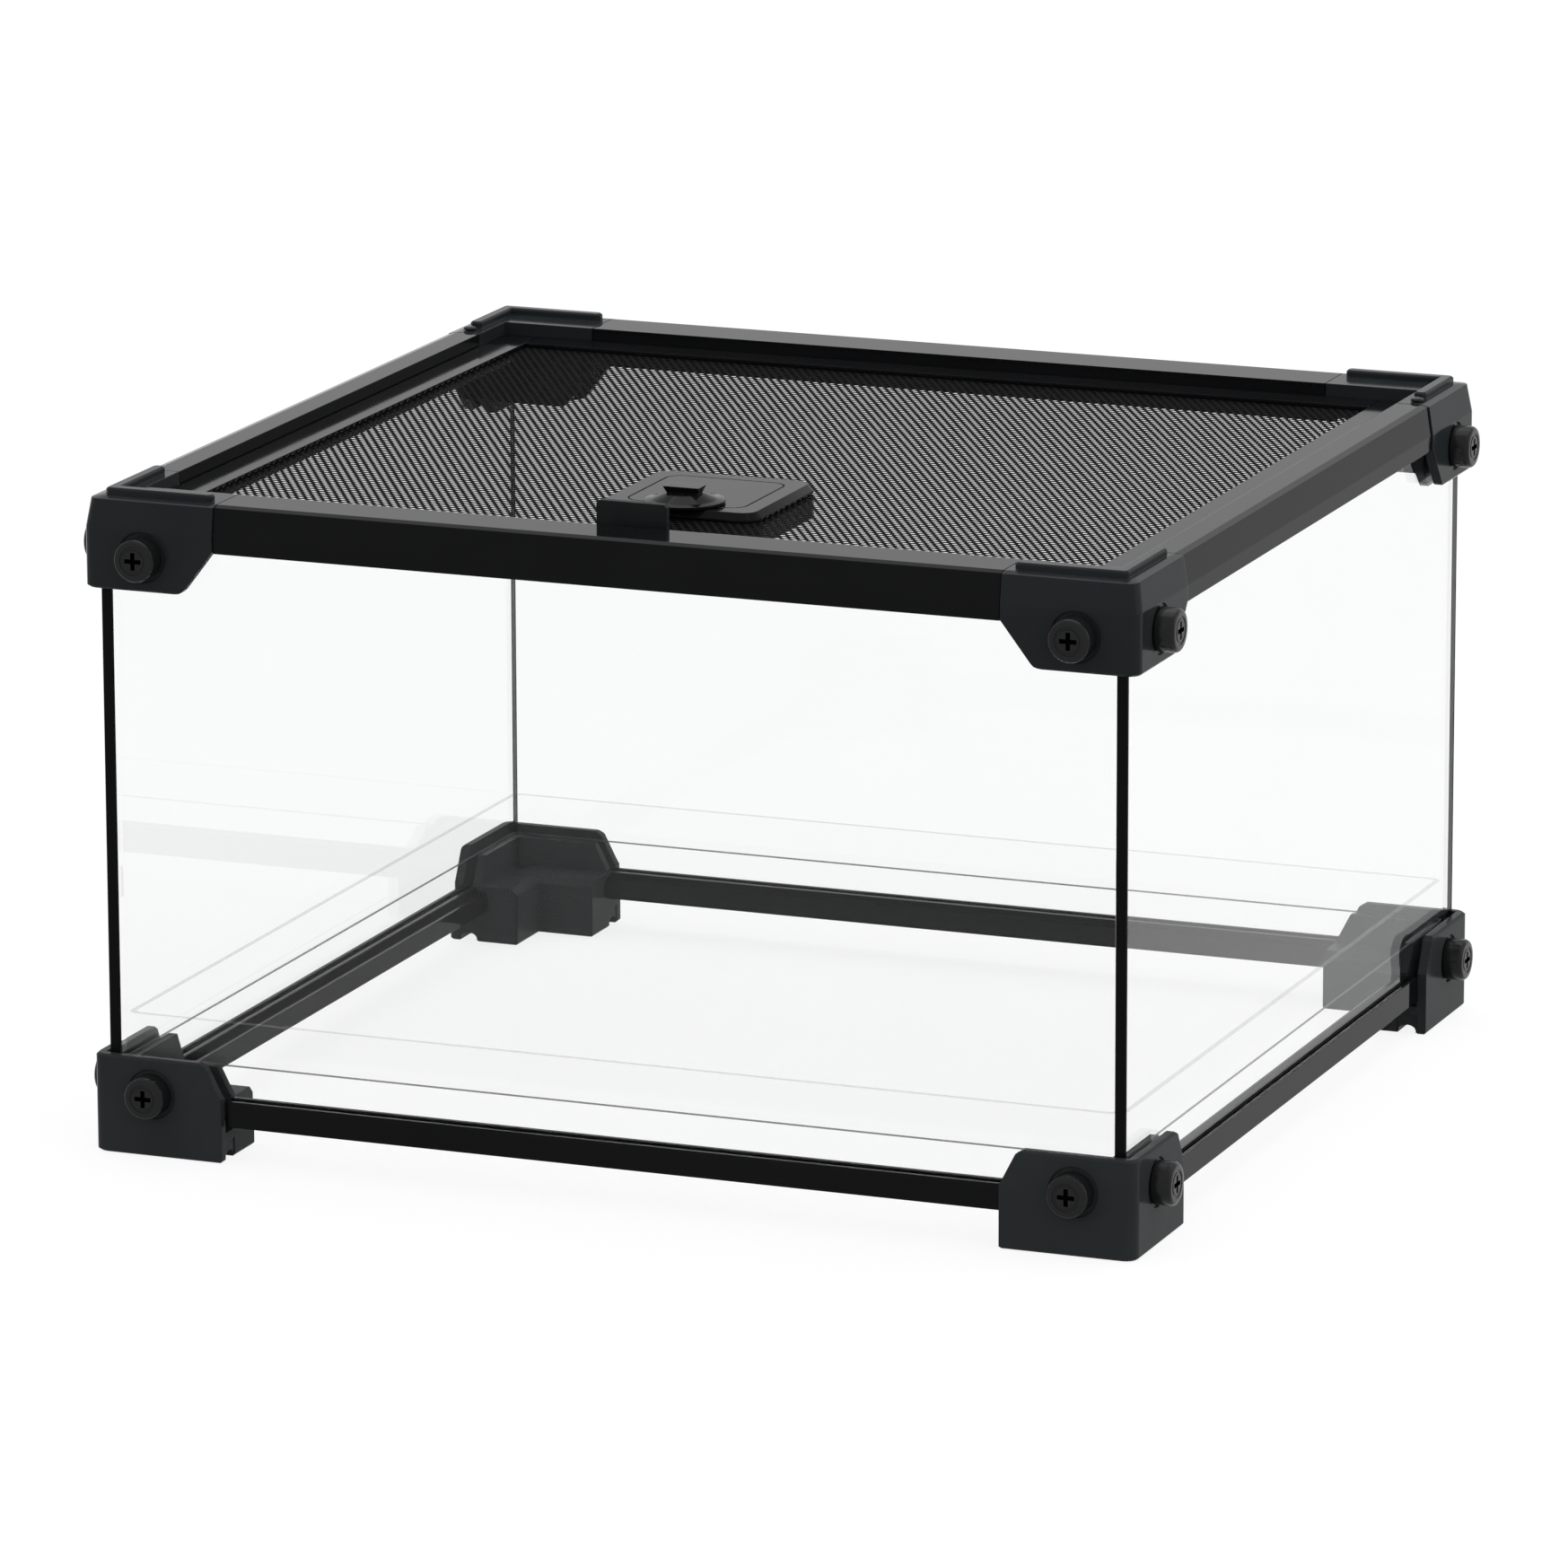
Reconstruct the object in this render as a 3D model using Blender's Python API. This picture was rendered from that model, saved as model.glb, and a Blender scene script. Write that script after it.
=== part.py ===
# Glass terrarium with corner brackets, thumbscrews, a clear tray and a hinged mesh lid with a turning latch.
import math

import bmesh
import bpy
from mathutils import Matrix, Vector

# Outside of the tank. X runs across the front, Y from the front to the back, Z up from the table.
WIDTH = 0.300
DEPTH = 0.281
RIM_TOP = 0.1815

# Clearances and overlaps
GAP = 0.0003
RUN_GAP = 0.0002
JOIN = 0.0004
PAST = 0.002
MERGE = 0.000002

# Steps in a quarter turn, and angles in degrees
CORNER_STEPS = 4
ROUND_STEPS = 4
DOME_STEPS = 4
BEND_STEPS = 3
SMOOTH_ANGLE = 32.0
FLAT_ANGLE = 0.5

# Panes and their sealed corners, measured inwards from the outside of the tank
GLASS = 0.003
PANE_OUTER = 0.0039
PANE_BOTTOM = 0.0113
PANE_DROP = 0.0076
PANE_TOP = RIM_TOP - PANE_DROP
SEAL_STRIP = 0.00065
SEAL_EDGE = 0.0002
PANE_INNER = PANE_OUTER + GLASS
SLOT_INNER = PANE_INNER + GAP
SEAL_FACE = PANE_OUTER - GAP - SEAL_STRIP

# Corner brackets
ARM = 0.0380
ARM_END = ARM + GAP
FLANGE = 0.00265
CORNER_RADIUS = 0.0031
HINGE_SETBACK = 0.0040
HINGE_IN = ARM - HINGE_SETBACK
INNER_FLANGE = 0.0025
INNER_FACE = SLOT_INNER + INNER_FLANGE

# Top brackets
BRACKET_HIGH = 0.0248
BRACKET_LOW = RIM_TOP - BRACKET_HIGH
CREASE_DROP = 0.0084
BRACKET_CREASE = RIM_TOP - CREASE_DROP
RIM_LEAN = 0.0012
RIM_EDGE_DROP = 0.0005
RIM_EDGE_IN = 0.0037
PLATE_LOW = PANE_TOP + GAP
ARM_TIP_RUN = 0.0095
FLAT_LOW_END = ARM - ARM_TIP_RUN
ARM_TIP_RISE = 0.0123
ARM_TIP_LOW = BRACKET_LOW + ARM_TIP_RISE
ARM_BEND_REACH = 0.0018
INNER_FLANGE_DROP = 0.0011
INNER_FLANGE_LOW = BRACKET_LOW - INNER_FLANGE_DROP
INNER_FLANGE_SETBACK = 0.0082
INNER_FLANGE_ARM = ARM - INNER_FLANGE_SETBACK
INNER_FLANGE_CUT = 0.0050
SIDE_RIM = 0.0108
FRONT_RIM = 0.0175
BACK_RIM = 0.0190

# Stacking ridges and the recesses under the feet that fit over them
RIDGE_NEAR = 0.0047
RIDGE_WIDE = 0.0035
RIDGE_HIGH = 0.0020
RIDGE_BEVEL = 0.0005
RIDGE_SNIP_SHARE = 0.25
RIDGE_SETBACK = 0.0022
RIDGE_ARM = ARM - RIDGE_SETBACK
RIDGE_PLUG_ROOM = 0.0030
RIDGE_ARM_SHORT = HINGE_IN - RIDGE_PLUG_ROOM
RECESS_NEAR = FLANGE
RECESS_FAR = 0.0085
RECESS_HIGH = 0.0055

# Feet
FOOT_TOP = 0.0274
FOOT_INNER_TOP = 0.0253
FOOT_LEDGE = 0.0169
FOOT_WIDE = 0.0212
FOOT_LEDGE_BEVEL = 0.0020
FOOT_EDGE = 0.0006
FOOT_SLOT_LOW = 0.0080
# Shape of a foot's arm tips: distance back from the end of the arm, and height
FOOT_TIP = ((0.0065, FOOT_TOP), (0.0046, 0.0262), (0.0010, 0.0192), (0.0002, 0.0178))

# Thumbscrews
SCREW_IN = 0.0173
SCREW_TOP_RISE = 0.0094
SCREW_TOP_Z = BRACKET_LOW + SCREW_TOP_RISE
SCREW_FOOT_Z = 0.0174
SCREW_RADIUS = 0.0059
SCREW_FACE_RADIUS = 0.0053
SCREW_OUT = 0.0055
SCREW_RIM = 0.0008
SHANK_RADIUS = 0.0019
SHANK_HOLE = SHANK_RADIUS + GAP
SHANK_END = PANE_OUTER - GAP
DISH_RADIUS = SCREW_RADIUS + 0.0010
DISH_DEEP = 0.0005
SCREW_SIDES = 20
DISH_SIDES = 24
HOLE_SIDES = 14

# Rails
RAIL_TOP_SET = 0.0004
RAIL_TOP_BAND = 0.0044
RAIL_TOP_LOW = BRACKET_CREASE - RAIL_TOP_BAND
RAIL_LIP = 0.0020
RAIL_SLOT_OUTER = PANE_OUTER - GAP
RAIL_LOW_SET = 0.0025
RAIL_LOW_BOTTOM = 0.0097
RAIL_LOW_TOP = 0.0169
RAIL_LOW_LEDGE = 0.0154
RAIL_LOW_INNER = 0.0120
RAIL_LOW_LIP = 0.0014
TONGUE_LONG = 0.0080
TONGUE_NEAR = 0.0090
TONGUE_FAR = 0.0116
TONGUE_LOW = 0.0105
TONGUE_HIGH = 0.0146

# Floor pane and tray
FLOOR_LOW = FOOT_INNER_TOP + GAP
FLOOR_HIGH = FLOOR_LOW + GLASS
TRAY_LOW = FLOOR_HIGH + GAP
TRAY_HIGH = 0.0378
TRAY_WALL = 0.0016
TRAY_BASE = 0.0012
TRAY_RADIUS = 0.0030

# Lid frame, measured from the outside of the tank
LID_DROP = 0.0035
LID_THICK = 0.0038
LID_TOP = RIM_TOP - LID_DROP
LID_LOW = LID_TOP - LID_THICK
LID_SIDE = SIDE_RIM + 0.0005
LID_FRONT = FRONT_RIM + 0.0008
LID_BACK = BACK_RIM + 0.0005
LID_BAR = 0.0103
LEDGE_DROP = 0.0024
LEDGE_THICK = 0.0022
LEDGE_TOP = LID_TOP - LEDGE_DROP
LEDGE_LOW = LEDGE_TOP - LEDGE_THICK
LEDGE_IN = 0.0240
BAR_STEP = LEDGE_IN + GAP
NET_DROP = 0.0012
NET_THICK = 0.0008
NET_HIGH = LID_TOP - NET_DROP
NET_LOW = NET_HIGH - NET_THICK
NET_TUCK = 0.0030
NET_COLUMNS = 15
NET_ROWS = 14
NET_STRAND = 0.0024
NET_RIM = 0.0060

# Lid hinge
HINGE_Z = (LID_LOW + LID_TOP) / 2
PIN_RADIUS = 0.0010
PIN_START = 0.0042
PIN_END = 0.0170
PIN_SEAT = PIN_RADIUS + GAP
PIN_RUN = PIN_RADIUS + RUN_GAP
PLUG_IN = 0.0061
PLUG_RADIUS = 0.0011
PLUG_HEAD = 0.00185
PLUG_EDGE = 0.0004
PLUG_DOME = 0.0010
PIN_SIDES = 20

# Latch, shown open, with its bolt drawn back from the front rail's ledge
LATCH_Y = 0.0745
LATCH_HALF = 0.0235
LATCH_RADIUS = 0.0055
LATCH_THICK = 0.0023
LATCH_LOW = NET_HIGH + GAP
LATCH_TOP = LATCH_LOW + LATCH_THICK
LATCH_EDGE = 0.0004
GROOVE_HALF = 0.0170
GROOVE_WIDE = 0.0005
GROOVE_DEEP = 0.0004
GROOVE_RADIUS = 0.0040
POST_AT = 0.0190
POST_RADIUS = 0.0014
POST_HOLE = POST_RADIUS + GAP
POST_DEEP = 0.0035
HOUSING_TOP = NET_LOW - GAP
HOUSING_HIGH = 0.0054
HOUSING_LOW = HOUSING_TOP - HOUSING_HIGH
NECK_HALF = 0.0115
NECK_FRONT = 0.0290
CHANNEL_HALF = 0.0083
CHANNEL_FLOOR = 0.0010
CHANNEL_BACK = 0.0850
BOLT_LOW = HOUSING_LOW + CHANNEL_FLOOR + GAP
BOLT_HIGH = LEDGE_LOW - GAP
BOLT_TIP = 0.0255
BOLT_END = 0.0840
BOLT_STROKE = 0.0060
BOLT_CHAMFER = 0.0020

# Latch knob with a crank pin in the bolt's cross slot
KNOB_Y = 0.0590
KNOB_RADIUS = 0.0110
KNOB_EDGE = 0.0007
KNOB_SKIRT = 0.0020
KNOB_SKIRT_RISE = 0.00035
KNOB_TOP_RADIUS = 0.0052
KNOB_HIGH = 0.0026
KNOB_LOW = LATCH_TOP + GAP
KNOB_SHAFT = 0.0030
KNOB_HOLE = KNOB_SHAFT + GAP
KNOB_DISC = 0.0056
DISC_LOW = BOLT_HIGH + GAP
DISC_HIGH = HOUSING_TOP - JOIN
CRANK_RADIUS = BOLT_STROKE / math.sqrt(2.0)
CRANK_PIN = 0.0010
CRANK_LOW = BOLT_LOW + GAP
CRANK_SLACK = 0.00035
SLOT_REACH = CRANK_RADIUS + CRANK_PIN + CRANK_SLACK
GRIP_HALF_LONG = 0.0042
GRIP_HALF_WIDE = 0.0017
GRIP_FLARE = 0.0010
GRIP_HIGH = 0.0019
GRIP_TOP = KNOB_LOW + KNOB_HIGH + GRIP_HIGH
KNOB_SIDES = 32

# Pull tab on the lid's front bar
PULL_HALF = 0.0100
PULL_FRONT = 0.0220
PULL_THICK = 0.0020
PULL_HIGH = 0.0090
PULL_TOP = LID_TOP + PULL_HIGH
PULL_RADIUS = 0.0008
PULL_TONGUE = 0.0070
PULL_TONGUE_DEEP = 0.0014
PULL_TONGUE_LOW = LID_TOP - PULL_TONGUE_DEEP
TONGUE_SKIN = 0.0003

# Colours are linear red, green and blue, then roughness and metallic
BLACK = (0.018, 0.019, 0.021)
SOFT_BLACK = (0.028, 0.029, 0.030)
SEAL_BLACK = (0.006, 0.006, 0.006)
CLEAR = (0.82, 0.87, 0.86)
STEEL = (0.55, 0.56, 0.57)
SIGNS = (("left", -1), ("right", 1))
ENDS = (("front", -1), ("back", 1))


def clear_scene():
    for item in list(bpy.data.objects):
        bpy.data.objects.remove(item, do_unlink=True)
    for block in list(bpy.data.meshes):
        bpy.data.meshes.remove(block)
    for block in list(bpy.data.materials):
        bpy.data.materials.remove(block)


def make_material(name, colour, roughness, metallic, alpha=1.0):
    material = bpy.data.materials.new(name)
    material.use_nodes = True
    shader = material.node_tree.nodes["Principled BSDF"]
    shader.inputs["Base Color"].default_value = (colour[0], colour[1], colour[2], 1.0)
    shader.inputs["Roughness"].default_value = roughness
    shader.inputs["Metallic"].default_value = metallic
    shader.inputs["Alpha"].default_value = alpha
    material.diffuse_color = (colour[0], colour[1], colour[2], alpha)
    return material


def new_object(name, work):
    bmesh.ops.remove_doubles(work, verts=work.verts, dist=MERGE)
    bmesh.ops.recalc_face_normals(work, faces=work.faces)
    mesh = bpy.data.meshes.new(name)
    work.to_mesh(mesh)
    work.free()
    item = bpy.data.objects.new(name, mesh)
    bpy.context.scene.collection.objects.link(item)
    return item


def loft(name, rings):
    """Closed body through rings that have the same number of points each."""
    work = bmesh.new()
    rows = []
    for ring in rings:
        rows.append([work.verts.new(point) for point in ring])
    count = len(rings[0])
    for lower, upper in zip(rows, rows[1:]):
        for i in range(count):
            j = (i + 1) % count
            work.faces.new((lower[i], lower[j], upper[j], upper[i]))
    work.faces.new(rows[0])
    work.faces.new(rows[-1])
    return new_object(name, work)


def box(name, low, high):
    rings = []
    for z in (low[2], high[2]):
        rings.append([(low[0], low[1], z), (high[0], low[1], z), (high[0], high[1], z), (low[0], high[1], z)])
    return loft(name, rings)


def frame_for(axis):
    along = Vector(axis).normalized()
    side = Vector((0, 0, 1)) if abs(along.z) < 0.5 else Vector((1, 0, 0))
    across = side.cross(along).normalized()
    return across, along.cross(across), along


def revolve(name, profile, base, axis, sides):
    """Body of revolution. The profile holds radius and height pairs, and zero radii close the ends."""
    across, up, along = frame_for(axis)
    work = bmesh.new()
    rows = []
    for radius, height in profile:
        centre = Vector(base) + along * height
        if radius == 0:
            rows.append([work.verts.new(centre)])
            continue
        row = []
        for i in range(sides):
            turn = 2 * math.pi * i / sides
            spoke = across * math.cos(turn) + up * math.sin(turn)
            row.append(work.verts.new(centre + spoke * radius))
        rows.append(row)
    for lower, upper in zip(rows, rows[1:]):
        for i in range(sides):
            j = (i + 1) % sides
            if len(lower) == 1:
                work.faces.new((lower[0], upper[i], upper[j]))
            elif len(upper) == 1:
                work.faces.new((lower[i], lower[j], upper[0]))
            else:
                work.faces.new((lower[i], lower[j], upper[j], upper[i]))
    return new_object(name, work)


def cylinder(name, base, axis, radius, start, end, sides=PIN_SIDES):
    return revolve(name, ((0, start), (radius, start), (radius, end), (0, end)), base, axis, sides)


def dome(radius, low, high):
    """Profile points that curve from a rim up to the middle."""
    points = []
    for i in range(DOME_STEPS):
        turn = 0.5 * math.pi * i / DOME_STEPS
        points.append((radius * math.cos(turn), low + (high - low) * math.sin(turn)))
    return tuple(points) + ((0, high),)


def combine(target, tools, operation):
    for tool in tools:
        step = target.modifiers.new(operation.lower(), "BOOLEAN")
        step.operation = operation
        step.solver = "EXACT"
        step.object = tool
    graph = bpy.context.evaluated_depsgraph_get()
    made = bpy.data.meshes.new_from_object(target.evaluated_get(graph), depsgraph=graph)
    old = target.data
    target.modifiers.clear()
    target.data = made
    made.name = target.name
    bpy.data.meshes.remove(old)
    for tool in tools:
        data = tool.data
        bpy.data.objects.remove(tool, do_unlink=True)
        bpy.data.meshes.remove(data)
    return target


def cut(target, tools):
    return combine(target, tools, "DIFFERENCE")


def join(target, tools):
    return combine(target, tools, "UNION")


def finish(item, material, origin=None):
    mesh = item.data
    mesh.materials.clear()
    mesh.materials.append(material)
    work = bmesh.new()
    work.from_mesh(mesh)
    bmesh.ops.remove_doubles(work, verts=work.verts, dist=MERGE)
    bmesh.ops.dissolve_degenerate(work, edges=work.edges, dist=MERGE)
    bmesh.ops.recalc_face_normals(work, faces=work.faces)
    work.to_mesh(mesh)
    work.free()
    mesh.shade_smooth()
    mesh.set_sharp_from_angle(angle=math.radians(SMOOTH_ANGLE))
    if origin is not None:
        mesh.transform(Matrix.Translation(-Vector(origin)))
        item.location = origin
    return item


class Corner:
    """Turns distances inwards from the two outer faces of a corner into positions."""

    def __init__(self, side, end):
        self.side = side
        self.end = end

    def at(self, a, b, z):
        return (self.side * (WIDTH / 2 - a), self.end * (DEPTH / 2 - b), z)

    def loft(self, name, levels):
        return loft(name, [[self.at(a, b, z) for a, b in outline] for z, outline in levels])

    def box(self, name, low, high):
        outline = ((low[0], low[1]), (high[0], low[1]), (high[0], high[1]), (low[0], high[1]))
        return self.loft(name, ((low[2], outline), (high[2], outline)))

    def slab(self, name, shape, low, high, along_x):
        """Prism whose outline lies in the upright plane along one arm."""
        rings = []
        for depth in (low, high):
            if along_x:
                rings.append([self.at(run, depth, z) for run, z in shape])
            else:
                rings.append([self.at(depth, run, z) for run, z in shape])
        return loft(name, rings)


def angle_outline(near, far_a, far_b, length_a, length_b, radius=0.0):
    """Outline of an angle whose arms run along both faces of a corner."""
    points = [(length_a, near), (length_a, far_b), (far_a, far_b), (far_a, length_b), (near, length_b)]
    if radius <= 0:
        return points + [(near, near)]
    centre = near + radius
    for i in range(CORNER_STEPS + 1):
        turn = math.pi + 0.5 * math.pi * i / CORNER_STEPS
        points.append((centre + radius * math.cos(turn), centre + radius * math.sin(turn)))
    return points


def angle_block(corner, name, near, far, length, low, high):
    outline = angle_outline(near, far, far, length, length)
    return corner.loft(name, ((low, outline), (high, outline)))


def arm_tips(corner, shape, depth):
    """Cutters that shape the ends of both arms."""
    return [corner.slab("tip", shape, -PAST, depth, along_x) for along_x in (True, False)]


def screw_cutters(corner, z):
    """Dish and shank hole in the outer flange of each arm."""
    tools = []
    for along_x in (True, False):
        a, b = (SCREW_IN, 0.0) if along_x else (0.0, SCREW_IN)
        inward = (0, -corner.end, 0) if along_x else (-corner.side, 0, 0)
        base = corner.at(a, b, z)
        tools.append(cylinder("dish", base, inward, DISH_RADIUS, -PAST, DISH_DEEP, DISH_SIDES))
        tools.append(cylinder("hole", base, inward, SHANK_HOLE, -PAST, FLANGE + JOIN, HOLE_SIDES))
    return tools


def foot_bracket(corner, name, material):
    levels = (
        (0.0, FOOT_EDGE, FOOT_WIDE - FOOT_EDGE, ARM - FOOT_EDGE),
        (FOOT_EDGE, 0.0, FOOT_WIDE, ARM),
        (FOOT_LEDGE - FOOT_LEDGE_BEVEL, 0.0, FOOT_WIDE, ARM),
        (FOOT_LEDGE + FOOT_EDGE, 0.0, FOOT_WIDE - FOOT_LEDGE_BEVEL - FOOT_EDGE, ARM),
        (FOOT_TOP - FOOT_EDGE, 0.0, FOOT_WIDE - FOOT_LEDGE_BEVEL - FOOT_EDGE, ARM),
        (FOOT_TOP, FOOT_EDGE, FOOT_WIDE - FOOT_LEDGE_BEVEL - FOOT_EDGE, ARM),
    )
    rings = [(z, angle_outline(near, far, far, arm, arm, CORNER_RADIUS)) for z, near, far, arm in levels]
    body = corner.loft(name, rings)
    over = ARM + PAST
    above = FOOT_TOP + PAST
    curve = [(ARM - back, z) for back, z in FOOT_TIP]
    tip = curve + [(over, curve[-1][1]), (over, above), (curve[0][0], above)]
    tools = [
        angle_block(corner, "inside", INNER_FACE, over + PAST, over + 2 * PAST, FOOT_LEDGE, above),
        angle_block(corner, "slot", FLANGE, SLOT_INNER, over, FOOT_SLOT_LOW, above),
        angle_block(corner, "inner_top", SLOT_INNER - JOIN, INNER_FACE + JOIN, over, FOOT_INNER_TOP, above),
        angle_block(corner, "recess", RECESS_NEAR, RECESS_FAR, over, -PAST, RECESS_HIGH),
    ]
    tools += arm_tips(corner, tip, INNER_FACE + JOIN)
    tools += screw_cutters(corner, SCREW_FOOT_Z)
    low = (ARM - TONGUE_LONG - GAP, TONGUE_NEAR - GAP, TONGUE_LOW - GAP)
    high = (over, TONGUE_FAR + GAP, TONGUE_HIGH + GAP)
    tools.append(corner.box("socket", low, high))
    tools.append(corner.box("socket", (low[1], low[0], low[2]), (high[1], high[0], high[2])))
    return finish(cut(body, tools), material)


def top_bracket(corner, name, material):
    far_b = FRONT_RIM if corner.end < 0 else BACK_RIM
    levels = (
        (BRACKET_LOW, FOOT_EDGE),
        (BRACKET_LOW + FOOT_EDGE, 0.0),
        (BRACKET_CREASE, 0.0),
        (RIM_TOP - RIM_EDGE_DROP, RIM_LEAN),
        (RIM_TOP, RIM_EDGE_IN),
    )
    rings = [(z, angle_outline(near, SIDE_RIM, far_b, ARM, ARM, CORNER_RADIUS)) for z, near in levels]
    body = corner.loft(name, rings)
    over = ARM + PAST
    below = INNER_FLANGE_LOW - PAST
    flat = (FLAT_LOW_END - ARM_BEND_REACH, BRACKET_LOW)
    bend = soft_bend(flat, (FLAT_LOW_END, BRACKET_LOW), (ARM, ARM_TIP_LOW), ARM_BEND_REACH)
    tip = bend + [(ARM, ARM_TIP_LOW), (over, ARM_TIP_LOW), (over, below), (flat[0], below)]
    cut(body, [angle_block(corner, "inside", FLANGE, over + PAST, over + 2 * PAST, below, PLATE_LOW)])
    cut(body, arm_tips(corner, tip, FLANGE + JOIN) + screw_cutters(corner, SCREW_TOP_Z))
    join(body, [inner_flange(corner), ridge(corner)])
    if corner.end > 0:
        cut(body, hinge_cutters(corner))
    return finish(body, material)


def soft_bend(before, bend, after, reach):
    """Short curve in place of a bend. It starts and ends at the given reach from the bend."""
    middle = Vector(bend)
    start = middle + (Vector(before) - middle).normalized() * reach
    end = middle + (Vector(after) - middle).normalized() * reach
    points = []
    for i in range(BEND_STEPS + 1):
        share = i / BEND_STEPS
        point = start.lerp(middle, share).lerp(middle.lerp(end, share), share)
        points.append((point.x, point.y))
    return points


def inner_flange(corner):
    """Flange behind the panes, with the lower end of each arm cut off at a slant."""
    arm = INNER_FLANGE_ARM
    body = angle_block(corner, "inner", SLOT_INNER, INNER_FACE, arm, INNER_FLANGE_LOW, PLATE_LOW + JOIN)
    below = INNER_FLANGE_LOW - PAST
    slant_high = INNER_FLANGE_LOW + INNER_FLANGE_CUT
    slant = (
        (arm - INNER_FLANGE_CUT, below), (arm - INNER_FLANGE_CUT, INNER_FLANGE_LOW),
        (arm, slant_high), (arm + PAST, slant_high), (arm + PAST, below),
    )
    return cut(body, arm_tips(corner, slant, INNER_FACE + JOIN))


def ridge(corner):
    """Stacking ridge on top of a bracket. The back brackets leave room for the plug on the side arm."""
    arm_b = RIDGE_ARM if corner.end < 0 else RIDGE_ARM_SHORT
    top = RIM_TOP + RIDGE_HIGH
    rings = []
    for z, trim in ((RIM_TOP - JOIN, 0.0), (top - RIDGE_BEVEL, 0.0), (top, RIDGE_BEVEL)):
        near = RIDGE_NEAR + trim
        far = RIDGE_NEAR + RIDGE_WIDE - trim
        rings.append((z, ridge_outline(near, far, RIDGE_ARM - trim, arm_b - trim)))
    return corner.loft("ridge", rings)


def ridge_outline(near, far, length_a, length_b):
    """Angle outline with both tips drawn in to blunt points."""
    snip = (far - near) * RIDGE_SNIP_SHARE
    return [
        (length_a - snip, near), (length_a, near + snip), (length_a, far - snip), (length_a - snip, far),
        (far, far),
        (far, length_b - snip), (far - snip, length_b), (near + snip, length_b), (near, length_b - snip),
        (near, near + snip), (near + snip, near),
    ]


def hinge_cutters(corner):
    """Seat for the hinge pin, open to the lid, and the hole above it for the plug."""
    side_face = corner.at(0, HINGE_IN, HINGE_Z)
    seat = cylinder("seat", side_face, (-corner.side, 0, 0), PIN_SEAT, PIN_START - GAP, SIDE_RIM + PAST)
    top_face = corner.at(PLUG_IN, HINGE_IN, RIM_TOP)
    hole = cylinder("hole", top_face, (0, 0, -1), PLUG_RADIUS + GAP, -PAST, RIM_TOP - HINGE_Z)
    return [seat, hole]


def rail_section(name, shape, is_side, sign, start, end):
    """Straight rail. The outline holds distances in from the outer face and heights."""
    rings = []
    for run in (start, end):
        if is_side:
            rings.append([(sign * (WIDTH / 2 - inward), run, z) for inward, z in shape])
        else:
            rings.append([(run, sign * (DEPTH / 2 - inward), z) for inward, z in shape])
    return loft(name, rings)


def top_rail(name, is_side, sign, material):
    rim = SIDE_RIM
    if not is_side:
        rim = FRONT_RIM if sign < 0 else BACK_RIM
    lip_in = SLOT_INNER + RAIL_LIP
    shape = [
        (RAIL_TOP_SET, RAIL_TOP_LOW), (RAIL_TOP_SET, BRACKET_CREASE),
        (RAIL_TOP_SET + RIM_LEAN, RIM_TOP - RIM_EDGE_DROP), (RIM_EDGE_IN, RIM_TOP), (rim, RIM_TOP),
    ]
    if not is_side and sign < 0:
        shape += [(rim, LEDGE_TOP), (LEDGE_IN, LEDGE_TOP), (LEDGE_IN, LEDGE_LOW)]
    else:
        shape += [(rim, LEDGE_LOW)]
    shape += [
        (lip_in, LEDGE_LOW), (lip_in, RAIL_TOP_LOW), (SLOT_INNER, RAIL_TOP_LOW),
        (SLOT_INNER, PLATE_LOW), (RAIL_SLOT_OUTER, PLATE_LOW), (RAIL_SLOT_OUTER, RAIL_TOP_LOW),
    ]
    half = (DEPTH if is_side else WIDTH) / 2 - ARM_END
    return finish(rail_section(name, shape, is_side, sign, -half, half), material)


def low_rail(name, is_side, sign, material):
    lip_in = SLOT_INNER + RAIL_LOW_LIP
    shape = (
        (RAIL_LOW_SET, RAIL_LOW_BOTTOM), (RAIL_LOW_SET, RAIL_LOW_TOP), (RAIL_SLOT_OUTER, RAIL_LOW_TOP),
        (RAIL_SLOT_OUTER, PANE_BOTTOM - GAP), (SLOT_INNER, PANE_BOTTOM - GAP), (SLOT_INNER, RAIL_LOW_TOP),
        (lip_in, RAIL_LOW_TOP), (lip_in, RAIL_LOW_LEDGE), (RAIL_LOW_INNER, RAIL_LOW_LEDGE),
        (RAIL_LOW_INNER, RAIL_LOW_BOTTOM),
    )
    half = (DEPTH if is_side else WIDTH) / 2 - ARM_END
    body = rail_section(name, shape, is_side, sign, -half, half)
    tongue = (
        (TONGUE_NEAR, TONGUE_LOW), (TONGUE_NEAR, TONGUE_HIGH),
        (TONGUE_FAR, TONGUE_HIGH), (TONGUE_FAR, TONGUE_LOW),
    )
    reach = half + GAP + TONGUE_LONG
    return finish(join(body, [rail_section("tongue", tongue, is_side, sign, -reach, reach)]), material)


def pane(name, is_side, sign, material):
    """Side panes run the full depth, and the front and back panes stand between them."""
    if is_side:
        half = DEPTH / 2 - PANE_OUTER
        edges = sorted((sign * (WIDTH / 2 - PANE_OUTER), sign * (WIDTH / 2 - PANE_INNER)))
        body = box(name, (edges[0], -half, PANE_BOTTOM), (edges[1], half, PANE_TOP))
    else:
        half = WIDTH / 2 - SLOT_INNER
        edges = sorted((sign * (DEPTH / 2 - PANE_OUTER), sign * (DEPTH / 2 - PANE_INNER)))
        body = box(name, (-half, edges[0], PANE_BOTTOM), (half, edges[1], PANE_TOP))
    return finish(body, material)


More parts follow.
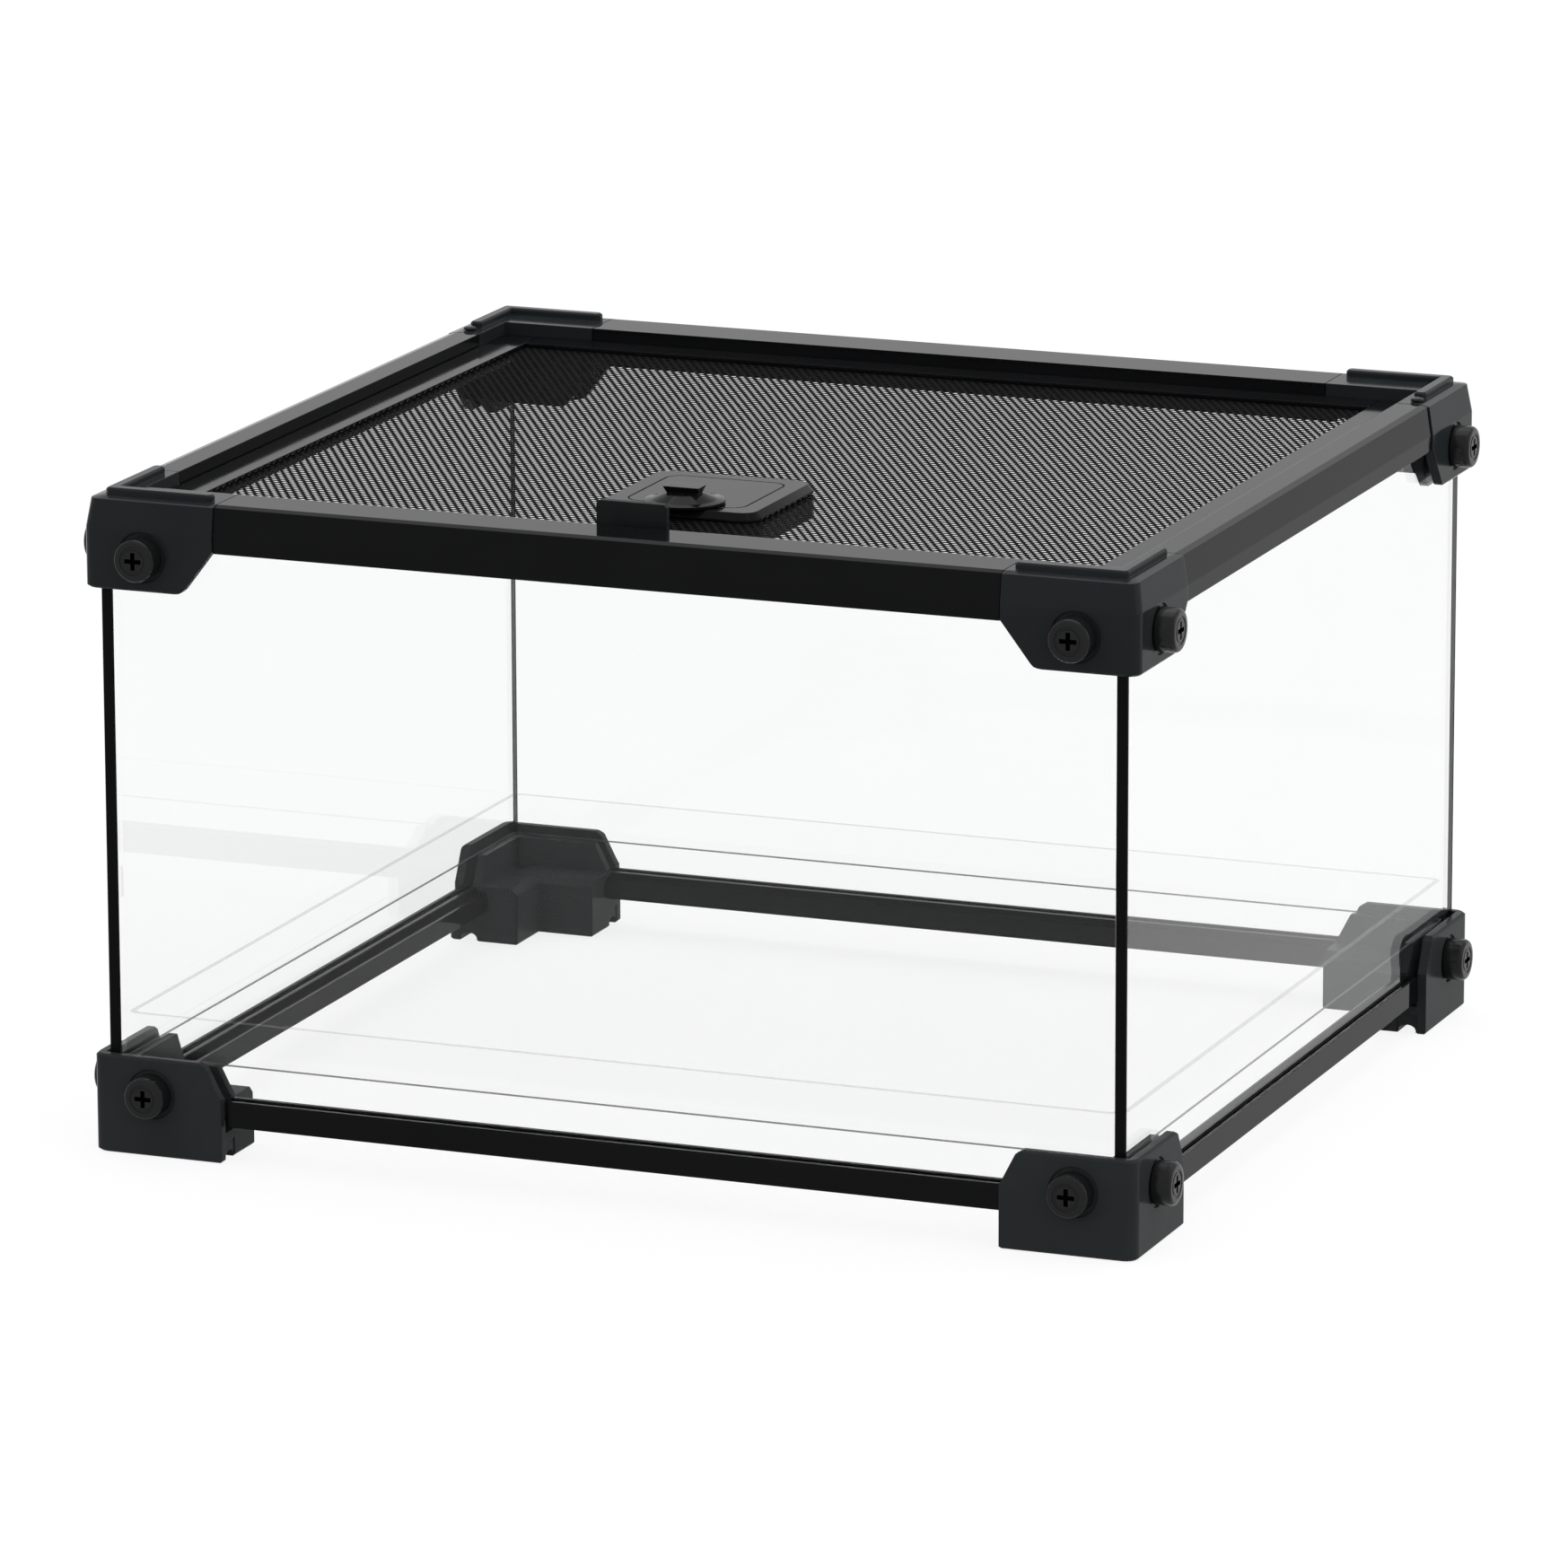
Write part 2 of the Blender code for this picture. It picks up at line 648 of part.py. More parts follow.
def corner_seal(corner, name, material):
    """Silicone strip over the bare edge of a side pane."""
    outline = (
        (PANE_OUTER + SEAL_EDGE, SEAL_FACE), (PANE_INNER - SEAL_EDGE, SEAL_FACE),
        (PANE_INNER, SEAL_FACE + SEAL_EDGE), (PANE_INNER, SEAL_FACE + SEAL_STRIP),
        (PANE_OUTER, SEAL_FACE + SEAL_STRIP), (PANE_OUTER, SEAL_FACE + SEAL_EDGE),
    )
    return finish(corner.loft(name, ((PANE_BOTTOM, outline), (PANE_TOP, outline))), material)


def floor_pane(material):
    half_x = WIDTH / 2 - SLOT_INNER
    half_y = DEPTH / 2 - SLOT_INNER
    return finish(box("floor_pane", (-half_x, -half_y, FLOOR_LOW), (half_x, half_y, FLOOR_HIGH)), material)


def rounded_outline(half_x, half_y, radius, z, middle=(0.0, 0.0)):
    points = []
    for sign_x, sign_y, start in ((1, 1, 0), (-1, 1, 90), (-1, -1, 180), (1, -1, 270)):
        cx = middle[0] + sign_x * (half_x - radius)
        cy = middle[1] + sign_y * (half_y - radius)
        for i in range(ROUND_STEPS + 1):
            turn = math.radians(start + 90 * i / ROUND_STEPS)
            points.append((cx + radius * math.cos(turn), cy + radius * math.sin(turn), z))
    return points


def tray(material):
    body = tray_block("liner_tray", 0.0, TRAY_RADIUS, TRAY_LOW, TRAY_HIGH)
    inner = TRAY_RADIUS - TRAY_WALL / 2
    hollow = tray_block("hollow", TRAY_WALL, inner, TRAY_LOW + TRAY_BASE, TRAY_HIGH + PAST)
    return finish(cut(body, [hollow]), material)


def tray_block(name, inset, radius, low, high):
    half_x = WIDTH / 2 - SLOT_INNER - inset
    half_y = DEPTH / 2 - SLOT_INNER - inset
    return loft(name, [rounded_outline(half_x, half_y, radius, z) for z in (low, high)])


def thumbscrew(corner, name, z, along_x, material):
    seat = GAP - DISH_DEEP
    profile = (
        (0, -SHANK_END), (SHANK_RADIUS, -SHANK_END), (SHANK_RADIUS, seat), (SCREW_RADIUS, seat),
        (SCREW_RADIUS, SCREW_OUT - SCREW_RIM), (SCREW_FACE_RADIUS, SCREW_OUT), (0, SCREW_OUT),
    )
    a, b = (SCREW_IN, 0.0) if along_x else (0.0, SCREW_IN)
    outward = (0, corner.end, 0) if along_x else (corner.side, 0, 0)
    return finish(revolve(name, profile, corner.at(a, b, z), outward, SCREW_SIDES), material)


def lid_net(material):
    """Sheet of square gaps with a solid patch under the latch."""
    half_x = WIDTH / 2 - LID_SIDE - LID_BAR + NET_TUCK - GAP
    low_y = -DEPTH / 2 + LID_FRONT + LID_BAR - NET_TUCK + GAP
    high_y = DEPTH / 2 - LID_BACK - LID_BAR + NET_TUCK - GAP
    grid_x = net_lines(-half_x, half_x, NET_COLUMNS)
    grid_y = net_lines(low_y, high_y, NET_ROWS)
    body = net_sheet("lid_net", grid_x, grid_y)
    middle = (0, KNOB_Y - DEPTH / 2, NET_LOW)
    tools = [cylinder("window", middle, (0, 0, 1), KNOB_DISC + JOIN, -PAST, PAST, KNOB_SIDES)]
    tools += post_cylinders("post_hole", POST_HOLE, NET_LOW - PAST, NET_HIGH + PAST)
    return finish(cut(body, tools), material)


def net_lines(low, high, count):
    """Both edges of the net and, between its rims, the edges of evenly spaced gaps."""
    start = low + NET_RIM
    size = (high - low - 2 * NET_RIM - NET_STRAND * (count - 1)) / count
    lines = [low]
    for _ in range(count):
        lines += [start, start + size]
        start += size + NET_STRAND
    return lines + [high]


def net_cells(grid_x, grid_y):
    """Cells of the grid that hold material: all but the gaps, which every second line starts."""
    filled = set()
    for i in range(len(grid_x) - 1):
        for j in range(len(grid_y) - 1):
            is_gap = i % 2 == 1 and j % 2 == 1
            if not is_gap or under_latch(grid_x[i], grid_x[i + 1], grid_y[j], grid_y[j + 1]):
                filled.add((i, j))
    return filled


def net_sheet(name, grid_x, grid_y):
    """Flat sheet with both faces and the walls of its gaps."""
    filled = net_cells(grid_x, grid_y)
    work = bmesh.new()
    corners = {}
    for level, z in enumerate((NET_LOW, NET_HIGH)):
        for i, x in enumerate(grid_x):
            for j, y in enumerate(grid_y):
                corners[level, i, j] = work.verts.new((x, y, z))
    for i, j in sorted(filled):
        ring = ((i, j), (i + 1, j), (i + 1, j + 1), (i, j + 1))
        beside = ((i, j - 1), (i + 1, j), (i, j + 1), (i - 1, j))
        for level in (0, 1):
            work.faces.new([corners[level, p, q] for p, q in ring])
        for k in range(4):
            if beside[k] in filled:
                continue
            start = ring[k]
            end = ring[(k + 1) % 4]
            lower = [corners[0, p, q] for p, q in (start, end)]
            upper = [corners[1, p, q] for p, q in (end, start)]
            work.faces.new(lower + upper)
    loose = [vert for vert in work.verts if not vert.link_faces]
    bmesh.ops.delete(work, geom=loose, context="VERTS")
    bmesh.ops.dissolve_edges(work, edges=flat_patch_edges(work.edges), use_verts=False)
    return new_object(name, work)


def flat_patch_edges(edges):
    """Flat edges inside the solid patch under the latch, which need not stay."""
    inside = []
    reach = LATCH_HALF - LATCH_RADIUS / 2
    for edge in edges:
        middle = (edge.verts[0].co + edge.verts[1].co) / 2
        is_flat = len(edge.link_faces) == 2 and edge.calc_face_angle(math.pi) < math.radians(FLAT_ANGLE)
        if is_flat and abs(middle.x) < reach and abs(middle.y - (LATCH_Y - DEPTH / 2)) < reach:
            inside.append(edge)
    return inside


def under_latch(low_x, high_x, low_y, high_y):
    reach = LATCH_HALF
    middle = LATCH_Y - DEPTH / 2
    return low_x < reach and high_x > -reach and low_y < middle + reach and high_y > middle - reach


def post_cylinders(name, radius, low, high):
    tools = []
    for sign_x in (-1, 1):
        for sign_y in (-1, 1):
            middle = (sign_x * POST_AT, LATCH_Y - DEPTH / 2 + sign_y * POST_AT, 0)
            tools.append(cylinder(name, middle, (0, 0, 1), radius, low, high, HOLE_SIDES))
    return tools


def side_bar(name, sign, material):
    """Side bar of the lid, grooved for the net and bored for the hinge pin."""
    inner = LID_SIDE + LID_BAR
    groove = inner - NET_TUCK
    shape = (
        (LID_SIDE, LID_LOW), (inner, LID_LOW), (inner, NET_LOW - GAP), (groove, NET_LOW - GAP),
        (groove, NET_HIGH + GAP), (inner, NET_HIGH + GAP), (inner, LID_TOP), (LID_SIDE, LID_TOP),
    )
    front = -DEPTH / 2 + LID_FRONT
    back = DEPTH / 2 - LID_BACK
    body = rail_section(name, shape, True, sign, front, back)
    hinge_middle = Corner(sign, 1).at(0, HINGE_IN, HINGE_Z)
    bore = cylinder("bore", hinge_middle, (-sign, 0, 0), PIN_RUN, LID_SIDE - PAST, PIN_END + GAP)
    # The step under the front end leaves room for the front rail's ledge.
    step_shape = (
        (LID_SIDE - PAST, LID_LOW - PAST), (inner + PAST, LID_LOW - PAST),
        (inner + PAST, LEDGE_TOP + GAP), (LID_SIDE - PAST, LEDGE_TOP + GAP),
    )
    step = rail_section("step", step_shape, True, sign, front - PAST, -DEPTH / 2 + BAR_STEP)
    return finish(cut(body, [bore, step]), material)


def cross_bar(name, sign, material):
    """Front or back bar of the lid between the side bars."""
    start = LID_FRONT if sign < 0 else LID_BACK
    inner = start + LID_BAR
    groove = inner - NET_TUCK
    shape = [
        (inner, LID_LOW), (inner, NET_LOW - GAP), (groove, NET_LOW - GAP),
        (groove, NET_HIGH + GAP), (inner, NET_HIGH + GAP), (inner, LID_TOP), (start, LID_TOP),
    ]
    if sign < 0:
        shape += [(start, LEDGE_TOP + GAP), (BAR_STEP, LEDGE_TOP + GAP), (BAR_STEP, LID_LOW)]
    else:
        shape += [(start, LID_LOW)]
    half = WIDTH / 2 - LID_SIDE - LID_BAR - GAP
    body = rail_section(name, shape, False, sign, -half, half)
    if sign < 0:
        low = (-PULL_TONGUE - GAP, -DEPTH / 2 + PULL_FRONT, PULL_TONGUE_LOW - GAP)
        high = (PULL_TONGUE + GAP, -DEPTH / 2 + PULL_FRONT + PULL_THICK, LID_TOP + PAST)
        cut(body, [box("slot", low, high)])
    return finish(body, material)


def pull_tab(material):
    """Upright tab with a tongue in the front bar."""
    front = -DEPTH / 2 + PULL_FRONT
    low = LID_TOP + GAP
    edge = PULL_RADIUS
    outline = (
        (-PULL_HALF, low), (PULL_HALF, low), (PULL_HALF, PULL_TOP - edge), (PULL_HALF - edge, PULL_TOP),
        (edge - PULL_HALF, PULL_TOP), (-PULL_HALF, PULL_TOP - edge),
    )
    body = loft("lid_pull", [[(x, y, z) for x, z in outline] for y in (front, front + PULL_THICK)])
    tongue_front = (-PULL_TONGUE, front + TONGUE_SKIN, PULL_TONGUE_LOW)
    tongue_back = (PULL_TONGUE, front + PULL_THICK - TONGUE_SKIN, low + JOIN)
    return finish(join(body, [box("tongue", tongue_front, tongue_back)]), material)


def latch_plate(material):
    middle = (0.0, LATCH_Y - DEPTH / 2)
    rings = []
    for z, trim in ((LATCH_LOW, 0.0), (LATCH_TOP - LATCH_EDGE, 0.0), (LATCH_TOP, LATCH_EDGE)):
        rings.append(rounded_outline(LATCH_HALF - trim, LATCH_HALF - trim, LATCH_RADIUS - trim, z, middle))
    body = loft("latch_plate", rings)
    join(body, post_cylinders("post", POST_RADIUS, HOUSING_TOP - POST_DEEP, LATCH_LOW + JOIN))
    groove = loft("groove", groove_rings(GROOVE_HALF + GROOVE_WIDE / 2, middle))
    cut(groove, [loft("island", groove_rings(GROOVE_HALF - GROOVE_WIDE / 2, middle, JOIN))])
    knob_middle = (0, KNOB_Y - DEPTH / 2, LATCH_LOW)
    hole = cylinder("hole", knob_middle, (0, 0, 1), KNOB_HOLE, -PAST, LATCH_THICK + PAST, KNOB_SIDES)
    return finish(cut(body, [groove, hole]), material)


def groove_rings(half, middle, extra=0.0):
    radius = GROOVE_RADIUS - GROOVE_HALF + half
    return [
        rounded_outline(half, half, radius, z, middle)
        for z in (LATCH_TOP - GROOVE_DEEP - extra, LATCH_TOP + PAST + extra)
    ]


def latch_housing(material):
    """Box under the net with a forward neck and a channel for the bolt."""
    middle = (0.0, LATCH_Y - DEPTH / 2)
    half = LATCH_HALF
    rings = [rounded_outline(half, half, LATCH_RADIUS, z, middle) for z in (HOUSING_LOW, HOUSING_TOP)]
    body = loft("latch_housing", rings)
    neck_front = -DEPTH / 2 + NECK_FRONT
    neck_back = middle[1] - LATCH_HALF + PAST
    neck = box("neck", (-NECK_HALF, neck_front, HOUSING_LOW), (NECK_HALF, neck_back, HOUSING_TOP))
    join(body, [neck])
    channel_front = (-CHANNEL_HALF, neck_front - PAST, HOUSING_LOW + CHANNEL_FLOOR)
    channel_back = (CHANNEL_HALF, -DEPTH / 2 + CHANNEL_BACK, HOUSING_TOP + PAST)
    tools = [box("channel", channel_front, channel_back)]
    tools += post_cylinders("socket", POST_HOLE, HOUSING_TOP - POST_DEEP - GAP, HOUSING_TOP + PAST)
    return finish(cut(body, tools), material)


def latch_bolt(material):
    """Sliding tongue with a cross slot for the crank pin, which pushes it under the front rail's ledge."""
    half = CHANNEL_HALF - GAP
    tip = -DEPTH / 2 + BOLT_TIP
    end = -DEPTH / 2 + BOLT_END
    outline = (
        (tip + BOLT_CHAMFER, -half), (end, -half), (end, half), (tip + BOLT_CHAMFER, half),
        (tip, half - BOLT_CHAMFER), (tip, BOLT_CHAMFER - half),
    )
    body = loft("latch_bolt", [[(x, y, z) for y, x in outline] for z in (BOLT_LOW, BOLT_HIGH)])
    pin_y = KNOB_Y - DEPTH / 2 + BOLT_STROKE / 2
    wide = CRANK_PIN + CRANK_SLACK
    low = (BOLT_STROKE / 2 - wide, pin_y - wide, BOLT_LOW - PAST)
    high = (SLOT_REACH, pin_y + wide, BOLT_HIGH + PAST)
    return finish(cut(body, [box("slot", low, high)]), material)


def latch_knob(material):
    """Round knob that rises to a raised grip, with a shaft, a crank disc and an off-centre pin below."""
    centre = Vector((0, KNOB_Y - DEPTH / 2, 0))
    rim = KNOB_LOW + KNOB_EDGE
    profile = (
        (0, DISC_LOW), (KNOB_DISC, DISC_LOW), (KNOB_DISC, DISC_HIGH),
        (KNOB_SHAFT, DISC_HIGH), (KNOB_SHAFT, KNOB_LOW), (KNOB_RADIUS, KNOB_LOW),
        (KNOB_RADIUS, rim), (KNOB_RADIUS - KNOB_SKIRT, rim + KNOB_SKIRT_RISE),
        (KNOB_TOP_RADIUS, KNOB_LOW + KNOB_HIGH), (0, KNOB_LOW + KNOB_HIGH),
    )
    body = revolve("latch_knob", profile, centre, (0, 0, 1), KNOB_SIDES)
    offset = BOLT_STROKE / 2
    pin_middle = centre + Vector((offset, offset, 0))
    pin = cylinder("pin", pin_middle, (0, 0, 1), CRANK_PIN, CRANK_LOW, DISC_LOW + JOIN, HOLE_SIDES)
    join(body, [knob_grip(), pin])
    return finish(body, material, origin=(0.0, centre.y, KNOB_LOW))


def knob_grip():
    """Bar across the knob's middle that flares outwards to its top."""
    middle = KNOB_Y - DEPTH / 2
    rings = []
    for z, flare in ((KNOB_LOW + KNOB_HIGH - JOIN, 0.0), (GRIP_TOP, GRIP_FLARE)):
        half = GRIP_HALF_LONG + flare
        front = middle - GRIP_HALF_WIDE - flare
        back = middle + GRIP_HALF_WIDE + flare
        rings.append([(-half, front, z), (half, front, z), (half, back, z), (-half, back, z)])
    return loft("grip", rings)


def hinge_pin(corner, name, material):
    base = corner.at(0, HINGE_IN, HINGE_Z)
    return finish(cylinder(name, base, (-corner.side, 0, 0), PIN_RADIUS, PIN_START, PIN_END), material)


def hinge_plug(corner, name, material):
    """Domed plug whose shank stands over the hinge pin."""
    base = corner.at(PLUG_IN, HINGE_IN, RIM_TOP)
    foot = HINGE_Z + PIN_RADIUS + GAP - RIM_TOP
    profile = ((0, foot), (PLUG_RADIUS, foot), (PLUG_RADIUS, GAP), (PLUG_HEAD, GAP))
    profile += dome(PLUG_HEAD, GAP + PLUG_EDGE, GAP + PLUG_DOME)
    return finish(revolve(name, profile, base, (0, 0, 1), PIN_SIDES), material)


def build_corners(mats):
    for end_name, end in ENDS:
        for side_name, side in SIGNS:
            place = f"{end_name}_{side_name}"
            corner = Corner(side, end)
            foot_bracket(corner, f"foot_{place}", mats["moulded"])
            top_bracket(corner, f"bracket_{place}", mats["moulded"])
            corner_seal(corner, f"seal_{place}", mats["seal"])
            for level, z in (("low", SCREW_FOOT_Z), ("top", SCREW_TOP_Z)):
                for face, along_x in ((end_name, True), (side_name, False)):
                    thumbscrew(corner, f"screw_{level}_{place}_on_{face}", z, along_x, mats["screw"])
    for side_name, side in SIGNS:
        corner = Corner(side, 1)
        hinge_pin(corner, f"hinge_pin_{side_name}", mats["steel"])
        hinge_plug(corner, f"hinge_plug_{side_name}", mats["screw"])


def build_sides(mats):
    for is_side, pairs in ((False, ENDS), (True, SIGNS)):
        for name, sign in pairs:
            top_rail(f"rail_top_{name}", is_side, sign, mats["moulded"])
            low_rail(f"rail_low_{name}", is_side, sign, mats["moulded"])
            pane(f"pane_{name}", is_side, sign, mats["glass"])


def build_lid(mats):
    for name, sign in SIGNS:
        side_bar(f"lid_bar_{name}", sign, mats["moulded"])
    for name, sign in ENDS:
        cross_bar(f"lid_bar_{name}", sign, mats["moulded"])
    lid_net(mats["net"])
    pull_tab(mats["moulded"])
    latch_plate(mats["moulded"])
    latch_housing(mats["moulded"])
    latch_bolt(mats["screw"])
    latch_knob(mats["moulded"])


def build():
    clear_scene()
    mats = {
        "moulded": make_material("moulded_black", BLACK, 0.32, 0.0),
        "screw": make_material("screw_black", SOFT_BLACK, 0.38, 0.0),
        "seal": make_material("seal_black", SEAL_BLACK, 0.5, 0.0),
        "glass": make_material("clear_glass", CLEAR, 0.04, 0.0, 0.35),
        "tray": make_material("clear_plastic", CLEAR, 0.12, 0.0, 0.35),
        "net": make_material("net_black", SOFT_BLACK, 0.45, 0.0),
        "steel": make_material("pin_steel", STEEL, 0.3, 1.0),
    }
    build_corners(mats)
    build_sides(mats)
    floor_pane(mats["glass"])
    tray(mats["tray"])
    build_lid(mats)


build()
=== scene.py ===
import math

import bpy
import bmesh
import numpy as np
from mathutils import Matrix, Vector


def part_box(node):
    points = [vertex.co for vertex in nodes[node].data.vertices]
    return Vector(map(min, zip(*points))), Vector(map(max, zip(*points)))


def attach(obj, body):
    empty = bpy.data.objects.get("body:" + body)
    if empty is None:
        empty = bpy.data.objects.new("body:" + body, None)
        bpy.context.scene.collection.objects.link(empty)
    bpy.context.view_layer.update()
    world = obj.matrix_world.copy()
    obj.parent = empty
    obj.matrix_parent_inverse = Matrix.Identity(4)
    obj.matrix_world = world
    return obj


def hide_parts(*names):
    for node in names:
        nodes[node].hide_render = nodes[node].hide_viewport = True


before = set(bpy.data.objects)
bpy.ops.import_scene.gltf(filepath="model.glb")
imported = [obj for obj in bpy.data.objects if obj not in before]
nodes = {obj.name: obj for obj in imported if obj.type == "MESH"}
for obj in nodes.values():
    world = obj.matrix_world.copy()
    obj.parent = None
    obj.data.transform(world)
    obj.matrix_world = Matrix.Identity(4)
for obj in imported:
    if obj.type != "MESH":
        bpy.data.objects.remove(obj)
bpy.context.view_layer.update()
mm = 0.001
halfWidth = 0.150  # outside of the tank, across
halfDepth = 0.1405  # outside of the tank, front to back
mergeNear = 0.003 * mm  # points closer than this are one
tankSides = (("front", False, -1), ("back", False, 1), ("left", True, -1), ("right", True, 1))
print("frame loaded", len(nodes))


# Shaders

shaderLook = {
    "toneScale": 35.0,  # slow change of tone and gloss, per metre
    "toneDetail": 3.0,
    "grainScale": 900.0,  # fine moulding grain, per metre
    "grainDetail": 2.0,
    "grainDepth": 0.02 * mm,
    "grainStrength": 0.35,
    "smudgeScale": 14.0,  # faint unevenness of the clear pieces, per metre
    "smudgeDetail": 4.0,
    "noiseRoughness": 0.55,
    "noiseSpan": (0.3, 0.7),  # values of the noise that are spread over the whole change
    "bevelSamples": 4,
}


def emptyTree(tree):
    for node in list(tree.nodes):
        tree.nodes.remove(node)


def newMaterial(name):
    material = bpy.data.materials.new(name)
    material.use_nodes = True
    tree = material.node_tree
    emptyTree(tree)
    return material, tree, tree.nodes.new("ShaderNodeOutputMaterial")


def addNode(tree, kind, **inputs):
    # inputs are the sockets' names, with _ for a blank
    node = tree.nodes.new(kind)
    for key, value in inputs.items():
        node.inputs[key.replace("_", " ")].default_value = value
    return node


def noiseFrom(tree, scale, detail):
    place = tree.nodes.new("ShaderNodeTexCoord")
    roughness = shaderLook["noiseRoughness"]
    noise = addNode(tree, "ShaderNodeTexNoise", Scale=scale, Detail=detail, Roughness=roughness)
    tree.links.new(place.outputs["Object"], noise.inputs["Vector"])
    return noise.outputs["Fac"]


def spread(tree, source, low, high):
    first, last = shaderLook["noiseSpan"]
    span = addNode(tree, "ShaderNodeMapRange", From_Min=first, From_Max=last, To_Min=low, To_Max=high)
    tree.links.new(source, span.inputs["Value"])
    return span.outputs["Result"]


def mixTones(tree, source, tones):
    mix = tree.nodes.new("ShaderNodeMix")
    mix.data_type = "RGBA"
    mix.inputs[6].default_value = (*tones[0], 1.0)
    mix.inputs[7].default_value = (*tones[1], 1.0)
    tree.links.new(source, mix.inputs[0])
    return mix.outputs[2]


def unevenShader(tree, noise, tones, gloss, **inputs):
    # tone and gloss drift together over the surface
    shader = addNode(tree, "ShaderNodeBsdfPrincipled", **inputs)
    tree.links.new(mixTones(tree, spread(tree, noise, 0.0, 1.0), tones), shader.inputs["Base Color"])
    tree.links.new(spread(tree, noise, *gloss), shader.inputs["Roughness"])
    return shader


def largerOf(tree, first, second):
    either = tree.nodes.new("ShaderNodeMath")
    either.operation = "MAXIMUM"
    tree.links.new(first, either.inputs[0])
    tree.links.new(second, either.inputs[1])
    return either.outputs["Value"]


def solidMaterial(name, tones, gloss, specular=0.5, metallic=0.0, grain=1.0, edge=None):
    # opaque, with fine grain and softened edges
    material, tree, out = newMaterial(name)
    s = shaderLook
    slow = noiseFrom(tree, s["toneScale"], s["toneDetail"])
    fine = noiseFrom(tree, s["grainScale"], s["grainDetail"])
    shader = unevenShader(tree, slow, tones, gloss, Metallic=metallic, Specular_IOR_Level=specular)
    strength = s["grainStrength"] * grain
    bump = addNode(tree, "ShaderNodeBump", Strength=strength, Distance=s["grainDepth"])
    tree.links.new(fine, bump.inputs["Height"])
    if edge:
        bevel = addNode(tree, "ShaderNodeBevel", Radius=edge)
        bevel.samples = s["bevelSamples"]
        tree.links.new(bevel.outputs["Normal"], bump.inputs["Normal"])
    tree.links.new(bump.outputs["Normal"], shader.inputs["Normal"])
    tree.links.new(shader.outputs["BSDF"], out.inputs["Surface"])
    return material


def clearMaterial(name, tones, gloss, index, shadowTint):
    # clear solid that lets lamp light through to the floor and the far side without caustic noise
    material, tree, out = newMaterial(name)
    smudge = noiseFrom(tree, shaderLook["smudgeScale"], shaderLook["smudgeDetail"])
    shader = unevenShader(tree, smudge, tones, gloss, Transmission_Weight=1.0, IOR=index)
    through = addNode(tree, "ShaderNodeBsdfTransparent", Color=(*shadowTint, 1.0))
    path = tree.nodes.new("ShaderNodeLightPath").outputs
    mix = tree.nodes.new("ShaderNodeMixShader")
    tree.links.new(largerOf(tree, path["Is Shadow Ray"], path["Is Diffuse Ray"]), mix.inputs["Fac"])
    tree.links.new(shader.outputs["BSDF"], mix.inputs[1])
    tree.links.new(through.outputs["BSDF"], mix.inputs[2])
    tree.links.new(mix.outputs["Shader"], out.inputs["Surface"])
    return material


def thinMaterial(name, tones, gloss, alpha):
    # clear sheet seen at a flat angle: a faint veil that bends nothing
    material, tree, out = newMaterial(name)
    smudge = noiseFrom(tree, shaderLook["smudgeScale"], shaderLook["smudgeDetail"])
    shader = unevenShader(tree, smudge, tones, gloss, Alpha=alpha)
    tree.links.new(shader.outputs["BSDF"], out.inputs["Surface"])
    return material


# Finishes, each with its darker and lighter tone and the span of its roughness

railTones = ((0.0055, 0.0058, 0.0064), (0.0072, 0.0075, 0.0082))
plasticTones = ((0.10, 0.11, 0.11), (0.16, 0.17, 0.17))
paleGlassTones = ((0.10, 0.13, 0.12), (0.14, 0.17, 0.16))

solidLook = {
    "bracket": dict(
        name="bracketPlastic", tones=((0.0180, 0.0210, 0.0225), (0.0225, 0.0260, 0.0278)),
        gloss=(0.10, 0.15), specular=0.042, grain=0.5, edge=0.5 * mm,
    ),
    # same black plastic as the brackets, in lighter tones: painted light that stands in for the
    # floor's reflection on the feet and their end walls
    "foot": dict(
        name="footPlasticWithPaintedFloorLight", tones=((0.0280, 0.0315, 0.0330), (0.0350, 0.0392, 0.0408)),
        gloss=(0.14, 0.20), specular=0.022, grain=0.6, edge=0.5 * mm,
    ),
    "rail": dict(
        name="railPlastic", tones=railTones, gloss=(0.05, 0.08),
        specular=0.050, grain=0.3, edge=0.3 * mm,
    ),
    "lid": dict(
        name="lidPlastic", tones=railTones, gloss=(0.07, 0.11),
        specular=0.050, grain=0.4, edge=0.3 * mm,
    ),
    "latch": dict(
        name="latchPlastic", tones=railTones, gloss=(0.09, 0.13),
        specular=0.050, grain=0.5, edge=0.3 * mm,
    ),
    "pull": dict(
        name="pullPlastic", tones=((0.011, 0.012, 0.013), (0.021, 0.022, 0.023)),
        gloss=(0.35, 0.5), specular=0.050, grain=3.0, edge=0.3 * mm,
    ),
    "screw": dict(
        name="screwPlastic", tones=((0.0100, 0.0104, 0.0110), (0.0140, 0.0145, 0.0152)),
        gloss=(0.12, 0.18), specular=0.15, edge=0.2 * mm,
    ),
    # near-black cross recess: painted shade that stands in for the dark inside the deep cross
    "screwCrossPaintedShade": dict(
        name="screwCrossPaintedShade", tones=((0.001, 0.001, 0.001), (0.002, 0.002, 0.002)),
        gloss=(0.7, 0.9), specular=0.01,
    ),
    "seal": dict(
        name="sealRubber", tones=((0.002, 0.002, 0.002), (0.004, 0.004, 0.004)),
        gloss=(0.4, 0.6), specular=0.05,
    ),
    "net": dict(
        name="netMetal", tones=((0.0050, 0.0050, 0.0050), (0.0090, 0.0090, 0.0090)),
        gloss=(0.70, 0.85), specular=0.02, grain=0.5,
    ),
    "steel": dict(
        name="pinSteel", tones=((0.50, 0.51, 0.52), (0.60, 0.61, 0.62)),
        gloss=(0.25, 0.35), metallic=1.0,
    ),
}

